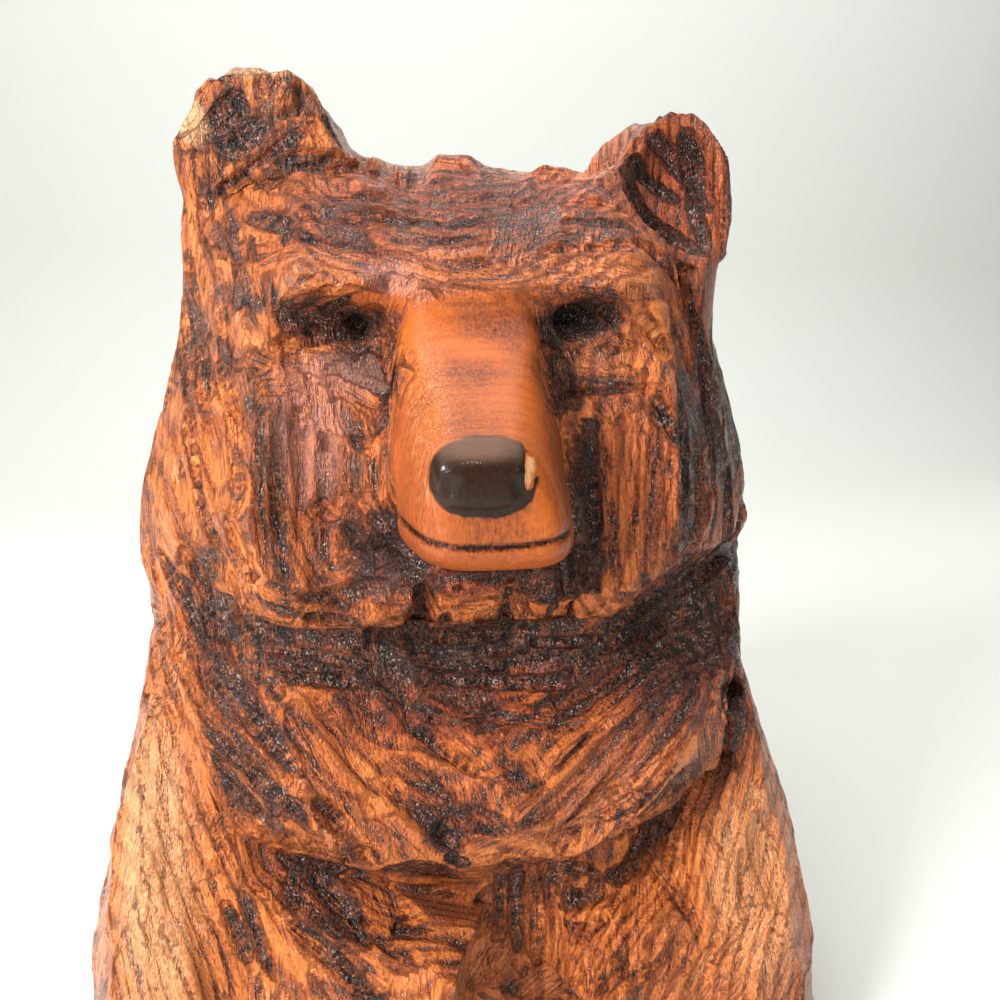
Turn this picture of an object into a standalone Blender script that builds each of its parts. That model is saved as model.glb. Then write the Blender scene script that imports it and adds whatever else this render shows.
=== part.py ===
"""Chainsaw carved bear: head, chest and arms of a bear in one log, cut flat below.

The bear faces -Y, +X is on the right of someone who looks at its face, and it rests on
the saw cut at z = 0. All sizes are millimetres, and become metres where a mesh is made.
The carving is built as a carver would do it: hewn blocks joined into one, then kerfs,
sockets and hollows cut out of them.
"""

import math
from collections import namedtuple

import bmesh
import bpy
from mathutils import Matrix, Vector

MM = 0.001

# Levels of the carving above the saw cut it rests on.
JAW_Z = 152
BROW_Z = 243
CROWN_Z = 292
EAR_TOP_Z = 314
CHEST_TIP_Z = 92

# Half widths of the log at the jowls, at the brow and at the elbows.
JOWL_HALF = 104
BROW_HALF = 84.5
ELBOW_HALF = 121

# How far forward of the log's heart the face, the nose and the chest reach, and its back.
FACE_Y = -46
NOSE_Y = -90
CHEST_Y = -62
BACK_Y = -NOSE_Y

# The eyes' pupils, and the level plane that their cutters are centred on.
LEFT_EYE_X = -31
RIGHT_EYE_X = 32
EYE_Z = BROW_Z - 7
EYE_Y = FACE_Y + 10
SOCKET_Y = FACE_Y + 2

# The width of the slot that the saw bar leaves.
KERF = 5.5

# The side of a block of waste that is larger than the log.
WASTE = 400

# The groove across the face of the left ear.
LEFT_EAR_KERF = [(-72, -8.5, 275.5), (-58, -10, 285.5), (-45, -9.5, 295)]

BEAR_COLOUR = (0.42, 0.13, 0.035, 1.0)
BEAR_ROUGHNESS = 0.38

# One level outline of a hewn block: its front flat, its sides and its back flat.
Course = namedtuple("Course", "z front front_half side_half side_front side_back back back_half")

# One upright section of the muzzle: where it is, its top and sole, and its two half widths.
Section = namedtuple("Section", "y top sole top_half sole_half")

# One upright section of the nose pad: where it is, its centre, half sizes and squareness.
Pad = namedtuple("Pad", "y x z half_x half_z squareness")

# One level section of an arm: its centre and its two half sizes.
Slice = namedtuple("Slice", "z x y half_x half_y")

HEAD = [
    Course(JAW_Z, FACE_Y + 3, 50, JOWL_HALF - 5, -4, 35, 74, 55),
    Course(JAW_Z + 11, FACE_Y - 3, 58, JOWL_HALF, -4, 38, 80, 60),
    Course(JAW_Z + 33, FACE_Y, 61, JOWL_HALF - 2, -4, 40, 83, 60),
    Course(JAW_Z + 61, FACE_Y + 4, 60, JOWL_HALF - 11, -6, 38, 81, 55),
    Course(JAW_Z + 74, FACE_Y + 8, 58, JOWL_HALF - 15, -7, 36, 78, 52),
    Course(BROW_Z - 3, FACE_Y + 7, 54, BROW_HALF, -8, 34, 74, 50),
    Course(BROW_Z + 3, FACE_Y, 46, BROW_HALF, -8, 33, 72, 50),
    Course(BROW_Z + 19, FACE_Y + 12, 48, BROW_HALF - 0.5, -8, 30, 64, 46),
    Course(CROWN_Z - 12, FACE_Y + 29, 46, BROW_HALF - 3, -4, 24, 50, 40),
    Course(CROWN_Z, FACE_Y + 43, 40, BROW_HALF - 24, 2, 18, 34, 32),
]

TRUNK = [
    Course(0, -40, 60, ELBOW_HALF - 3, -20, 38, BACK_Y, 70),
    Course(30, -42, 60, ELBOW_HALF - 3, -18, 40, BACK_Y, 70),
    Course(60, -42, 58, ELBOW_HALF - 6, -12, 42, BACK_Y, 68),
    Course(90, -40, 56, ELBOW_HALF - 12, -6, 42, BACK_Y - 2, 66),
    Course(115, -38, 52, ELBOW_HALF - 16, -2, 40, BACK_Y - 4, 62),
    Course(138, -35, 48, ELBOW_HALF - 17, 0, 38, BACK_Y - 6, 58),
    Course(JAW_Z + 16, -30, 44, ELBOW_HALF - 19, 2, 36, BACK_Y - 8, 54),
]

BIB = [
    Course(CHEST_TIP_Z - 30, CHEST_Y + 26, 16, 40, -20, 20, 30, 30),
    Course(CHEST_TIP_Z - 5, CHEST_Y + 3, 30, 64, -40, 20, 30, 30),
    Course(CHEST_TIP_Z + 3, CHEST_Y, 40, 74, -44, 20, 30, 30),
    Course(CHEST_TIP_Z + 12, CHEST_Y + 2, 50, 79, -44, 20, 30, 30),
    Course(CHEST_TIP_Z + 30, CHEST_Y + 11, 54, 84, -36, 20, 30, 30),
    Course(CHEST_TIP_Z + 50, CHEST_Y + 24, 54, 93, -24, 20, 30, 30),
    Course(JAW_Z + 8, CHEST_Y + 30, 50, 96, -12, 20, 30, 30),
]

MUZZLE = [
    Section(NOSE_Y + 60, 246, 170, 20, 29),
    Section(NOSE_Y + 46, 243, 172, 20, 28.5),
    Section(NOSE_Y + 40, 232.5, 174, 19.5, 28),
    Section(NOSE_Y + 28, 222, 175.5, 17, 25.5),
    Section(NOSE_Y + 16, 214.5, 176.5, 14.5, 22.5),
    Section(NOSE_Y + 9, 211, 178, 13, 20),
    Section(NOSE_Y + 5, 208.5, 180.5, 11.5, 17),
    Section(NOSE_Y + 3, 206, 183.5, 10, 14),
]

ARM = [
    Slice(150, 76, 22, 18, 16),
    Slice(128, 80, 12, 24, 26),
    Slice(105, 82, 2, 24, 38),
    Slice(80, 84, -6, 29, 42),
    Slice(50, 84, -16, 34, 46),
    Slice(20, 83, -20, 37, 48),
    Slice(0, 83, -22, ELBOW_HALF - 83, 48),
]

# The nose pad, from its back to its face.
NOSE = [
    Pad(NOSE_Y + 11, -1.2, 204, 11.4, 6.5, 0.6),
    Pad(NOSE_Y + 5, -1.2, 202.2, 12, 7.6, 0.6),
    Pad(NOSE_Y, -1.5, 199.4, 9.4, 4.9, 0.7),
]

# The muzzle's sole lies this far to the right of its top.
MUZZLE_LEAN = 3.5
MUZZLE_SQUARENESS = 0.52
MUZZLE_AROUND = 28

# The line between the lips: its level in front, and how far it rises over this run back.
MOUTH_Z = 185
MOUTH_RISE = 5
MOUTH_RUN = 30
MOUTH_RADIUS = 1.2

# The deep line between the bib and the right arm.
BIB_KERF = [(92, -14, 118), (82, -34, 98), (62, -48, 79), (40, -58, 66), (28, -64, 52)]


def clear_scene():
    for thing in list(bpy.data.objects):
        bpy.data.objects.remove(thing, do_unlink=True)


def facing(azimuth, elevation):
    """Unit vector: azimuth 0 looks out of the bear's face, 90 to its +X side."""
    turn, rise = math.radians(azimuth), math.radians(elevation)
    return Vector((math.sin(turn) * math.cos(rise), -math.cos(turn) * math.cos(rise), math.sin(rise)))


def turned_to(azimuth, elevation, roll=0):
    """Matrix whose Z looks along facing(), its X level, turned about Z by roll."""
    out = facing(azimuth, elevation)
    level = Vector((math.cos(math.radians(azimuth)), math.sin(math.radians(azimuth)), 0))
    frame = Matrix((level, out.cross(level), out)).transposed().to_4x4()
    return frame @ Matrix.Rotation(math.radians(roll), 4, "Z")


def to_object(bm, name):
    bmesh.ops.recalc_face_normals(bm, faces=bm.faces)
    bmesh.ops.scale(bm, vec=(MM, MM, MM), verts=bm.verts)
    mesh = bpy.data.meshes.new(name)
    bm.to_mesh(mesh)
    bm.free()
    thing = bpy.data.objects.new(name, mesh)
    bpy.context.scene.collection.objects.link(thing)
    return thing


def skin(bm, rings):
    """Closes a row of rings of points into one solid."""
    loops = [[bm.verts.new(point) for point in ring] for ring in rings]
    for lower, upper in zip(loops, loops[1:]):
        for i in range(len(lower)):
            j = (i + 1) % len(lower)
            bm.faces.new((lower[i], lower[j], upper[j], upper[i]))
    bm.faces.new(list(reversed(loops[0])))
    bm.faces.new(loops[-1])


def rounded(half_x, half_y, around, squareness):
    """Points of a rounded rectangle: squareness 1 is an ellipse, and less is squarer."""
    points = []
    for i in range(around):
        a = 2 * math.pi * (i + 0.5) / around
        x = math.copysign(abs(math.cos(a)) ** squareness, math.cos(a))
        y = math.copysign(abs(math.sin(a)) ** squareness, math.sin(a))
        points.append((x * half_x, y * half_y))
    return points


def course_ring(c):
    half = [
        (c.front_half, c.front),
        (c.side_half, c.side_front),
        (c.side_half, c.side_back),
        (c.back_half, c.back),
    ]
    right = [Vector((x, y, c.z)) for x, y in half]
    left = [Vector((-x, y, c.z)) for x, y in reversed(half)]
    return right + left


def saw(bm, at, azimuth, elevation):
    """A flat saw cut through a convex block: what lies beyond the plane falls off."""
    everything = bm.verts[:] + bm.edges[:] + bm.faces[:]
    cut = bmesh.ops.bisect_plane(
        bm, geom=everything, plane_co=at, plane_no=facing(azimuth, elevation), clear_outer=True
    )
    edges = [item for item in cut["geom_cut"] if isinstance(item, bmesh.types.BMEdge)]
    bmesh.ops.edgeloop_fill(bm, edges=edges)


def hewn_block(name, courses, cuts=()):
    bm = bmesh.new()
    skin(bm, [course_ring(c) for c in courses])
    for at, azimuth, elevation in cuts:
        saw(bm, at, azimuth, elevation)
    return to_object(bm, name)


def muzzle_width(s, level):
    """The muzzle's middle and half width at a level: -1 is its sole and 1 its top."""
    half = s.sole_half + (s.top_half - s.sole_half) * (level + 1) / 2
    return MUZZLE_LEAN * (1 - level) / 2, half


def muzzle_block():
    """The sanded muzzle: rounded sections, narrower on top than at the lips."""
    rings = []
    for s in MUZZLE:
        ring = []
        for x, level in rounded(1, 1, MUZZLE_AROUND, MUZZLE_SQUARENESS):
            middle, half = muzzle_width(s, level)
            z = (s.top + s.sole) / 2 + level * (s.top - s.sole) / 2
            ring.append(Vector((middle + x * half, s.y, z)))
        rings.append(ring)
    bm = bmesh.new()
    skin(bm, rings)
    return to_object(bm, "muzzle")


def mouth_path():
    """The line between the lips, along the muzzle's skin from one corner to the other."""
    left, right = [], []
    power = 2 / MUZZLE_SQUARENESS
    for s in MUZZLE[2:]:
        z = MOUTH_Z + MOUTH_RISE * (s.y - NOSE_Y) / MOUTH_RUN
        level = 2 * (z - s.sole) / (s.top - s.sole) - 1
        middle, half = muzzle_width(s, level)
        reach = half * (1 - abs(level) ** power) ** (1 / power)
        left.append((middle - reach, s.y, z))
        right.append((middle + reach, s.y, z))
    return left + right[::-1]


def nose_block():
    """The nose pad stands a little proud of the muzzle's front."""
    rings = []
    for p in NOSE:
        outline = rounded(p.half_x, p.half_z, 16, p.squareness)
        rings.append([Vector((p.x + x, p.y, p.z + z)) for x, z in outline])
    bm = bmesh.new()
    skin(bm, rings)
    return to_object(bm, "nose")


def arm_block(name, side, shoulder_rise):
    """An upper arm down to the cut, as level sections: side is -1 or 1."""
    rings = []
    for s in ARM:
        z = s.z + shoulder_rise * s.z / ARM[0].z
        outline = rounded(s.half_x, s.half_y, 14, 0.9)
        rings.append([Vector((side * (s.x + x), s.y + y, z)) for x, y in outline])
    bm = bmesh.new()
    skin(bm, rings)
    return to_object(bm, name)


def limb(name, start, end, start_half, end_half, sides=10):
    """A tapered timber from start to end, its half sizes given as across and up."""
    start, end = Vector(start), Vector(end)
    along = (end - start).normalized()
    across = along.cross(Vector((0, 0, 1))).normalized()
    up = across.cross(along)
    rings = []
    for centre, half in ((start, start_half), (end, end_half)):
        rings.append([centre + across * x + up * y for x, y in rounded(half[0], half[1], sides, 0.75)])
    bm = bmesh.new()
    skin(bm, rings)
    return to_object(bm, name)


def ear(name, centre, radii, thickness, azimuth, elevation, cuts):
    """A thick round ear standing on the crown, turned to face out."""
    bm = bmesh.new()
    place = Matrix.Translation(centre) @ turned_to(azimuth, elevation)
    bmesh.ops.create_cone(
        bm, cap_ends=True, segments=20, radius1=1, radius2=0.94, depth=thickness,
        matrix=place @ Matrix.Diagonal((radii[0], radii[1], 1, 1)),
    )
    for at, cut_azimuth, cut_elevation in cuts:
        saw(bm, at, cut_azimuth, cut_elevation)
    return to_object(bm, name)


def hollow(name, centre, radii, azimuth, elevation, roll=0):
    """A scoop: the cutter is a rounded lens facing out of the surface."""
    bm = bmesh.new()
    place = Matrix.Translation(centre) @ turned_to(azimuth, elevation, roll)
    bmesh.ops.create_icosphere(
        bm, subdivisions=2, radius=1, matrix=place @ Matrix.Diagonal((*radii, 1))
    )
    return to_object(bm, name)


def kerf(name, start, end, depth, azimuth, elevation, width=KERF):
    """The slot that a saw bar leaves: it runs from start to end and goes in by depth."""
    start, end = Vector(start), Vector(end)
    along = (end - start).normalized()
    across = along.cross(facing(azimuth, elevation)).normalized()
    frame = Matrix((along, across, along.cross(across))).transposed().to_4x4()
    size = Matrix.Diagonal(((end - start).length, width, 2 * depth, 1))
    bm = bmesh.new()
    bmesh.ops.create_cube(bm, size=1, matrix=Matrix.Translation((start + end) / 2) @ frame @ size)
    return to_object(bm, name)


def groove(name, path, radius):
    """A veiner's line: a round cutter run along the points of a path."""
    bm = bmesh.new()
    path = [Vector(point) for point in path]
    rings = []
    for i, point in enumerate(path):
        along = (path[min(i + 1, len(path) - 1)] - path[max(i - 1, 0)]).normalized()
        across = along.cross(Vector((0, 0, 1))).normalized()
        up = across.cross(along)
        rings.append([point + across * x + up * z for x, z in rounded(radius, radius, 8, 1)])
    skin(bm, rings)
    return to_object(bm, name)


def chip(name, corner, size, azimuth, elevation, roll=0):
    """A block of waste with its near corner at a point: it runs out of the surface."""
    bm = bmesh.new()
    place = Matrix.Translation(corner) @ turned_to(azimuth, elevation, roll)
    half = Matrix.Translation((size[0] / 2, size[1] / 2, size[2] / 2))
    bmesh.ops.create_cube(bm, size=1, matrix=place @ half @ Matrix.Diagonal((*size, 1)))
    return to_object(bm, name)


def combine(bear, helper, operation):
    helper.hide_render = True
    helper.display_type = "WIRE"
    step = bear.modifiers.new(helper.name, "BOOLEAN")
    step.operation = operation
    step.solver = "EXACT"
    step.object = helper


def wood():
    material = bpy.data.materials.new("varnished cedar")
    material.use_nodes = True
    shader = material.node_tree.nodes["Principled BSDF"]
    shader.inputs["Base Color"].default_value = BEAR_COLOUR
    shader.inputs["Roughness"].default_value = BEAR_ROUGHNESS
    shader.inputs["Metallic"].default_value = 0.0
    return material


def blocks():
    left_cuts = [((-62, 0, EAR_TOP_Z - 0.5), -10, 82), ((-84.5, 0, 290), -90, 4), ((-38, 0, 305), 60, 45)]
    right_cuts = [((68, 0, 306.5), 10, 84), ((91, 0, 280), 90, 0), ((54, 0, 300), -60, 50)]
    head_cuts = [((-28, 0, CROWN_Z - 1), 90, 86), ((60, -34, JAW_Z + 8), 45, -42)]
    return [
        hewn_block("head", HEAD, head_cuts),
        hewn_block("bib", BIB),
        muzzle_block(),
        nose_block(),
        ear("left_ear", (-58, 4, 285), (27, 28.5), 26, -4, 6, left_cuts),
        ear("right_ear", (68, 4, 276), (26, 31), 24, 10, 8, right_cuts),
        arm_block("left_arm", -1, 16),
        arm_block("right_arm", 1, 0),
        limb("left_forearm", (-84, -26, 50), (-6, -56, 34), (26, 34), (24, 30)),
        limb("right_forearm", (88, -26, 42), (34, -54, 26), (26, 34), (22, 28)),
    ]


def cutters():
    return [
        kerf("temple_kerf", (62, -20, 262), (81, -17.5, 213), 6, 40, 8, 4),
        hollow("left_eye_socket", (LEFT_EYE_X - 7, SOCKET_Y, EYE_Z + 1), (15, 7.5, 11), -8, 10, -8),
        hollow("left_eye", (LEFT_EYE_X, EYE_Y, EYE_Z), (4.5, 4.5, 10), 4, 0),
        hollow("right_eye_socket", (RIGHT_EYE_X + 3, SOCKET_Y, EYE_Z), (12, 8, 12), 6, 8, 12),
        hollow("right_eye", (RIGHT_EYE_X, EYE_Y, EYE_Z + 1), (7.5, 6.3, 11), -4, 0),
        hollow("left_cheek", (-41, -59, 190), (22, 33, 20), -8, 4, 4),
        hollow("right_cheek", (34, -62, 196), (12, 32, 22), 0, 0),
        hollow("right_ear_hollow", (67, -13, 276), (16.5, 22, 10), 4, 8, 24),
        hollow("left_ear_hollow", (-59, -18, 292), (19, 17, 10), -4, 6),
        groove("mouth", mouth_path(), MOUTH_RADIUS),
        groove("bib_edge_kerf", BIB_KERF, 5),
        hollow("arm_notch", (20, -62, 62), (15, 26, 22), 6, -14, 14),
        hollow("bib_scoop", (-30, -62, 106), (8, 18, 6), -4, 20, -38),
        kerf("ear_root_kerf", (-56, -12, 283), (-24, -8, 284.5), 4, 0, 35),
        kerf("crown_kerf_1", (-27.3, 2, 294), (-26.5, -16, 272), 4, 0, 50, 3),
        kerf("crown_kerf_2", (-16.3, 0, 293), (-16.8, -26, 262), 3.5, 0, 50, 3.5),
        groove("left_ear_kerf", LEFT_EAR_KERF, 2.6),
        kerf("chin_kerf_1", (-15, -48, 166), (-15, -48, 148), 6, 0, 0, 4),
        kerf("chin_kerf_2", (11, -49, 162), (11, -49, 148), 5, 0, 0, 4),
        chip("underside", (WASTE / 2, -WASTE / 2, 0), (WASTE, WASTE, WASTE), 180, -90),
    ]


def build():
    clear_scene()
    bear = hewn_block("carved_bear", TRUNK)
    bear.data.materials.append(wood())
    for block in blocks():
        combine(bear, block, "UNION")
    for cutter in cutters():
        combine(bear, cutter, "DIFFERENCE")
    return bear


if __name__ == "__main__":
    build()
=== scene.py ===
"""Chainsaw carved bear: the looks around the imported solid.

The carving is one piece of red cedar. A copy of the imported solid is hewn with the
strokes of a saw bar and a gouge, torn along its grain, and varnished in code. Sizes in
the tables are millimetres, seen from the front: X to the right, Z up from the saw cut
that the bear rests on. Meshes are in metres.
"""

import functools
import math
from collections import namedtuple

import bmesh
import bpy
import numpy as np
from mathutils import Matrix, Vector


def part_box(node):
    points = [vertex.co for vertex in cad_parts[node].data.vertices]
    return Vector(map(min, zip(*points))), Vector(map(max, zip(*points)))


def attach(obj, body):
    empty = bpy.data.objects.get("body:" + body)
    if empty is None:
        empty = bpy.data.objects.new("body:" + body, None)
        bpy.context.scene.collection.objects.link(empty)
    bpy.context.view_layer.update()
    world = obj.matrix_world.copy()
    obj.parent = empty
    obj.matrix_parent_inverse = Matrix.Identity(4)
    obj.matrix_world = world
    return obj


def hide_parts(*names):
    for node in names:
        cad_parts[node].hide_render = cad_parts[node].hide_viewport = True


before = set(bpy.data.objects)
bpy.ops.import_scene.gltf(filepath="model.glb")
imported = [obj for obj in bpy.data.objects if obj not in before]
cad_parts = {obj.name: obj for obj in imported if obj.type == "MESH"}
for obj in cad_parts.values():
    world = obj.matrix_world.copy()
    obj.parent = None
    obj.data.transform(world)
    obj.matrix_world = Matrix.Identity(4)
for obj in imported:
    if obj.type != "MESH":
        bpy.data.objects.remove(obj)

bl_info = {
    "name": "Carved Bear",
    "version": (1, 0, 0),
    "blender": (4, 5, 0),
    "location": "3D View > Sidebar > Carved Bear",
    "description": "Hews, tears and varnishes a chainsaw carved bear",
    "category": "Object",
}

NODE = "carved_bear"
MM = 0.001
LOW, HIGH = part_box(NODE)
SEED = 11


# ---------------------------------------------------------------- tables of the carving

# A pass of the tool from one point to another, both on the front as seen from there.
# torn is how rough and scorched it leaves the wood: 0 is sheared clean, 1 is torn black.
# stop is 1 where the chip broke off short and left a wall at the second point.
Stroke = namedtuple("Stroke", "x0 z0 x1 z1 width depth torn stop", defaults=(0,))

# A place on the front whose finish differs, as a soft ellipse.
Patch = namedtuple("Patch", "what x z half_x half_z turn amount")

# Lumps pushed out of the wood, or in where rise is negative.
Lump = namedtuple("Lump", "x z radius rise")


def fan(first, last, count):
    """Passes side by side, from the first one to the last."""
    steps = [i / (count - 1) for i in range(count)]
    return [Stroke(*(a + (b - a) * t for a, b in zip(first, last))) for t in steps]


EARS = [
    Stroke(-73, 276, -48, 294, 4.5, 1.2, 0.9),
    Stroke(-75, 292, -62, 302, 9, 1.6, 0.85),
    Stroke(-70, 286, -56, 298, 9, 1.4, 0.75),
    Stroke(-48, 309, -47.5, 299, 3, 2.2, 0.9, 1),
    Stroke(-57, 298, -47, 301, 3.5, 1.6, 0.8),
    Stroke(-45, 306, -33, 292, 6, 1.5, 0.75),
    Stroke(-45, 299, -38, 288, 5, 1.2, 0.45),
    Stroke(-56, 283, -27, 283, 6, 1.2, 1.0, 1),
    Stroke(-68, 272, -64, 254, 7, 1.0, 0.35),
    Stroke(52, 291, 72, 279, 5, 1.6, 1.0),
    Stroke(50, 287, 77, 260, 5, 1.8, 0.9),
    Stroke(60, 298, 78, 282, 7, 1.2, 0.55),
    Stroke(72, 300, 79, 276, 7, 1.4, 0.7),
    Stroke(75, 282, 80, 260, 5, 1.6, 1.0),
    Stroke(84, 296, 86, 262, 5, 1.0, 0.35),
]

CROWN = [
    Stroke(-46, 273, -20, 272, 4, 0.7, 0.1, 1),
    Stroke(-44, 269, -19, 268, 1.8, 0.6, 1.0, 1),
    Stroke(-46, 266, -20, 264.5, 4, 0.7, 0.15, 1),
    Stroke(-14, 284, 8, 283, 12, 1.1, 0.1),
    Stroke(10, 284, 34, 283, 11, 1.0, 0.35),
    Stroke(36, 282, 48, 276, 8, 1.0, 0.45),
    Stroke(-12, 273, 14, 273, 10, 0.7, 0.05),
    Stroke(7, 281, 7.5, 271, 2.4, 0.5, 0.9),
    Stroke(12, 281, 12, 270, 2.0, 0.5, 0.9),
    Stroke(16, 281, 16.5, 269, 2.4, 0.5, 0.8),
    Stroke(23, 284, 23, 274, 2.0, 0.5, 0.7),
    Stroke(20, 275, 52, 272, 5, 0.6, 0.25),
    Stroke(-62, 268, -44, 262, 6, 0.7, 0.85),
    Stroke(-30, 266, 6, 266, 3, 0.5, 0.95),
    Stroke(4, 268, 52, 267, 3.2, 0.6, 1.0),
    Stroke(8, 262.5, 46, 263, 3.4, 0.6, 1.0),
    Stroke(-22, 260, 6, 261, 4, 0.5, 0.75),
    Stroke(-58, 262, -36, 260, 4, 0.5, 0.7),
    Stroke(20, 258, 52, 260, 4.5, 0.6, 0.55),
]

BROW = [
    Stroke(-60, 254, -44, 258, 9, 1.0, 0.05),
    Stroke(-44, 256, -20, 252, 8, 0.8, 0.3),
    Stroke(-24, 253, -6, 247, 9, 1.0, 0.1),
    Stroke(-6, 252, 16, 250, 9, 0.7, 0.25),
    Stroke(14, 252, 34, 253, 8, 0.4, 0.3),
    Stroke(30, 254, 56, 252, 9, 1.0, 0.05),
    Stroke(16, 244, 28, 246, 5, 0.6, 0.55),
    Stroke(-9, 247, 10, 242, 8, 0.6, 0.05),
]

EYES = [
    Stroke(-49, 243, -41, 250, 4, 0.8, 0.8),
    Stroke(-45, 240, -37, 245, 3, 0.8, 0.9),
    Stroke(-41, 239, -29, 243, 3, 1.4, 0.9),
    Stroke(-54, 229, -40, 235, 3.4, 1.4, 0.9),
    Stroke(-62, 230, -54, 226, 6, 1.2, 0.95),
    Stroke(-52, 228, -34, 224, 7, 1.2, 0.35),
    Stroke(-40, 224, -24, 218, 5, 1.0, 0.85),
    Stroke(-62, 240, -56, 230, 6, 1.2, 0.3),
    Stroke(-33, 228, -22, 232, 5, 0.8, 0.3),
    Stroke(25, 230, 30, 214, 5, 1.2, 0.9),
    Stroke(38, 233, 50, 229, 4, 1.2, 0.75),
    Stroke(28, 222, 48, 222, 9, 1.4, 0.35),
    Stroke(25, 218.5, 50, 220, 2.4, 1.4, 0.9),
    Stroke(46, 236, 62, 228, 6, 1.4, 0.6),
    Stroke(60, 246, 64, 232, 7, 1.4, 0.35),
    Stroke(47, 243, 58, 247, 4, 0.8, 0.2),
]

LEFT_CHEEK = [
    Stroke(-57, 214, -57, 168, 7, 2.0, 0.4),
    Stroke(-51, 212, -52, 168, 6, 1.5, 0.3),
    Stroke(-46, 216, -46, 170, 6, 1.4, 0.2),
    Stroke(-40, 208, -41, 172, 7, 1.5, 0.3),
    Stroke(-33, 206, -35, 178, 7, 1.4, 0.35),
    Stroke(-28, 212, -28, 190, 5, 1.0, 0.2),
    Stroke(-40, 207, -40, 201, 2.4, 1.0, 0.9),
    Stroke(-33, 207, -32, 201, 2.8, 1.2, 0.9),
    Stroke(-37, 183, -27, 173, 4, 2.0, 1.0),
    Stroke(-29, 186, -21, 175, 4, 1.8, 1.0),
    Stroke(-34, 171, -19, 168, 4, 1.6, 1.0),
    Stroke(-26, 180, -14, 167, 4, 1.4, 0.9),
    Stroke(-45, 190, -36, 183, 6, 1.2, 0.75),
    Stroke(-58, 168, -38, 160, 4, 1.6, 0.6, 1),
    Stroke(-49, 164, -34, 158, 4, 1.4, 1.0),
    Stroke(-60, 163, -44, 157, 5, 1.2, 0.4),
    Stroke(-42, 222, -26, 214, 6, 1.4, 0.1),
    Stroke(-58, 220, -44, 222, 6, 1.0, 0.1),
]

LEFT_SIDE = [
    Stroke(-71, 228, -64, 208, 9, 1.6, 0.75),
    Stroke(-78, 236, -76, 214, 8, 1.5, 0.6),
    Stroke(-66, 214, -65, 186, 8, 1.5, 0.5),
    Stroke(-74, 212, -70, 186, 8, 1.6, 0.3),
    Stroke(-82, 214, -78, 190, 7, 1.5, 0.75),
    Stroke(-88, 208, -84, 182, 8, 1.6, 0.25),
    Stroke(-68, 186, -62, 166, 6, 1.6, 0.2, 1),
    Stroke(-80, 192, -72, 172, 8, 1.5, 0.85),
    Stroke(-92, 192, -84, 172, 7, 1.5, 0.35),
    Stroke(-72, 176, -65, 155, 6, 1.4, 0.15, 1),
    Stroke(-78, 172, -71, 152, 6, 1.4, 0.4, 1),
    Stroke(-86, 174, -78, 152, 6, 1.6, 0.15, 1),
    Stroke(-72, 256, -68, 234, 8, 1.2, 0.5),
]

RIGHT_CHEEK = (
    fan(Stroke(39, 212, 41, 160, 6, 1.6, 0.35), Stroke(58, 214, 57, 166, 6.5, 1.6, 0.25), 4)
    + fan(Stroke(26, 176, 26, 160, 1.8, 1.6, 1.0), Stroke(36, 176, 36, 160, 1.8, 1.6, 1.0), 4)
    + [
        Stroke(34, 212, 34.5, 172, 5, 2.2, 0.95),
        Stroke(51, 214, 62, 204, 7, 1.4, 1.0),
        Stroke(64, 222, 66, 176, 7, 2.0, 0.95),
        Stroke(72, 206, 73, 170, 7, 1.5, 0.2),
        Stroke(76, 224, 80, 192, 6, 1.5, 0.7),
        Stroke(80, 196, 82, 168, 6, 1.4, 0.2),
        Stroke(89, 196, 90, 160, 7, 1.6, 0.75),
        Stroke(66, 238, 72, 222, 6, 1.4, 0.45),
        Stroke(76, 240, 80, 222, 6, 1.4, 0.8),
        Stroke(52, 264, 68, 250, 5, 2.0, 0.85),
        Stroke(68, 250, 75, 232, 4.5, 2.0, 0.95),
        Stroke(75, 234, 78, 206, 4.5, 1.8, 0.95),
        Stroke(62, 176, 70, 166, 5, 1.4, 0.9),
        Stroke(50, 168, 53, 160, 4, 1.2, 0.9),
    ]
)

JAW = [
    Stroke(-28, 158, -17, 158, 4, 1.6, 0.15),
    Stroke(-18, 157, -18, 144, 2.0, 1.4, 1.0, 1),
    Stroke(-29, 156, -29, 144, 1.8, 1.2, 0.8, 1),
    Stroke(-15, 160, -15, 141, 3.0, 1.6, 1.0, 1),
    Stroke(-10, 156, -10, 148, 2.0, 1.2, 1.0, 1),
    Stroke(-6, 156, -6.5, 147, 1.8, 1.1, 0.95, 1),
    Stroke(11, 163, 11, 150, 3.0, 1.4, 1.0, 1),
    Stroke(15, 162, 15, 151, 1.4, 0.9, 0.8, 1),
    Stroke(24, 160, 24, 151, 2.2, 0.9, 0.7, 1),
    Stroke(29, 158, 29.5, 150, 1.8, 0.9, 0.7, 1),
    Stroke(-4, 158, 8, 158, 6, 0.9, 0.1),
    Stroke(-62, 160, -46, 156, 4, 1.4, 0.9),
    Stroke(-46, 156, -30, 152, 4, 1.4, 0.85),
    Stroke(-14, 166, 4, 169, 5, 1.0, 0.75),
    Stroke(2, 166, 20, 170, 5, 1.0, 0.8),
    Stroke(-30, 166, -14, 163, 5, 1.0, 0.7),
    Stroke(40, 159, 49, 158, 5, 1.0, 0.6),
]

NECK = (
    fan(Stroke(-66, 147, -24, 140, 5, 1.6, 1.0), Stroke(-56, 138, -12, 134, 5, 1.4, 0.85), 3)
    + fan(Stroke(-20, 146, 16, 147, 5, 1.4, 0.9), Stroke(-12, 136, 30, 132, 5, 1.4, 0.8), 4)
    + fan(Stroke(98, 168, 30, 140, 4.5, 1.6, 0.7), Stroke(88, 136, 34, 112, 5.5, 1.6, 0.55), 8)
    + [
        Stroke(92, 158, 84, 132, 6, 1.2, 0.1),
        Stroke(16, 144, 40, 144, 4, 1.4, 0.95),
    ]
)

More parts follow.
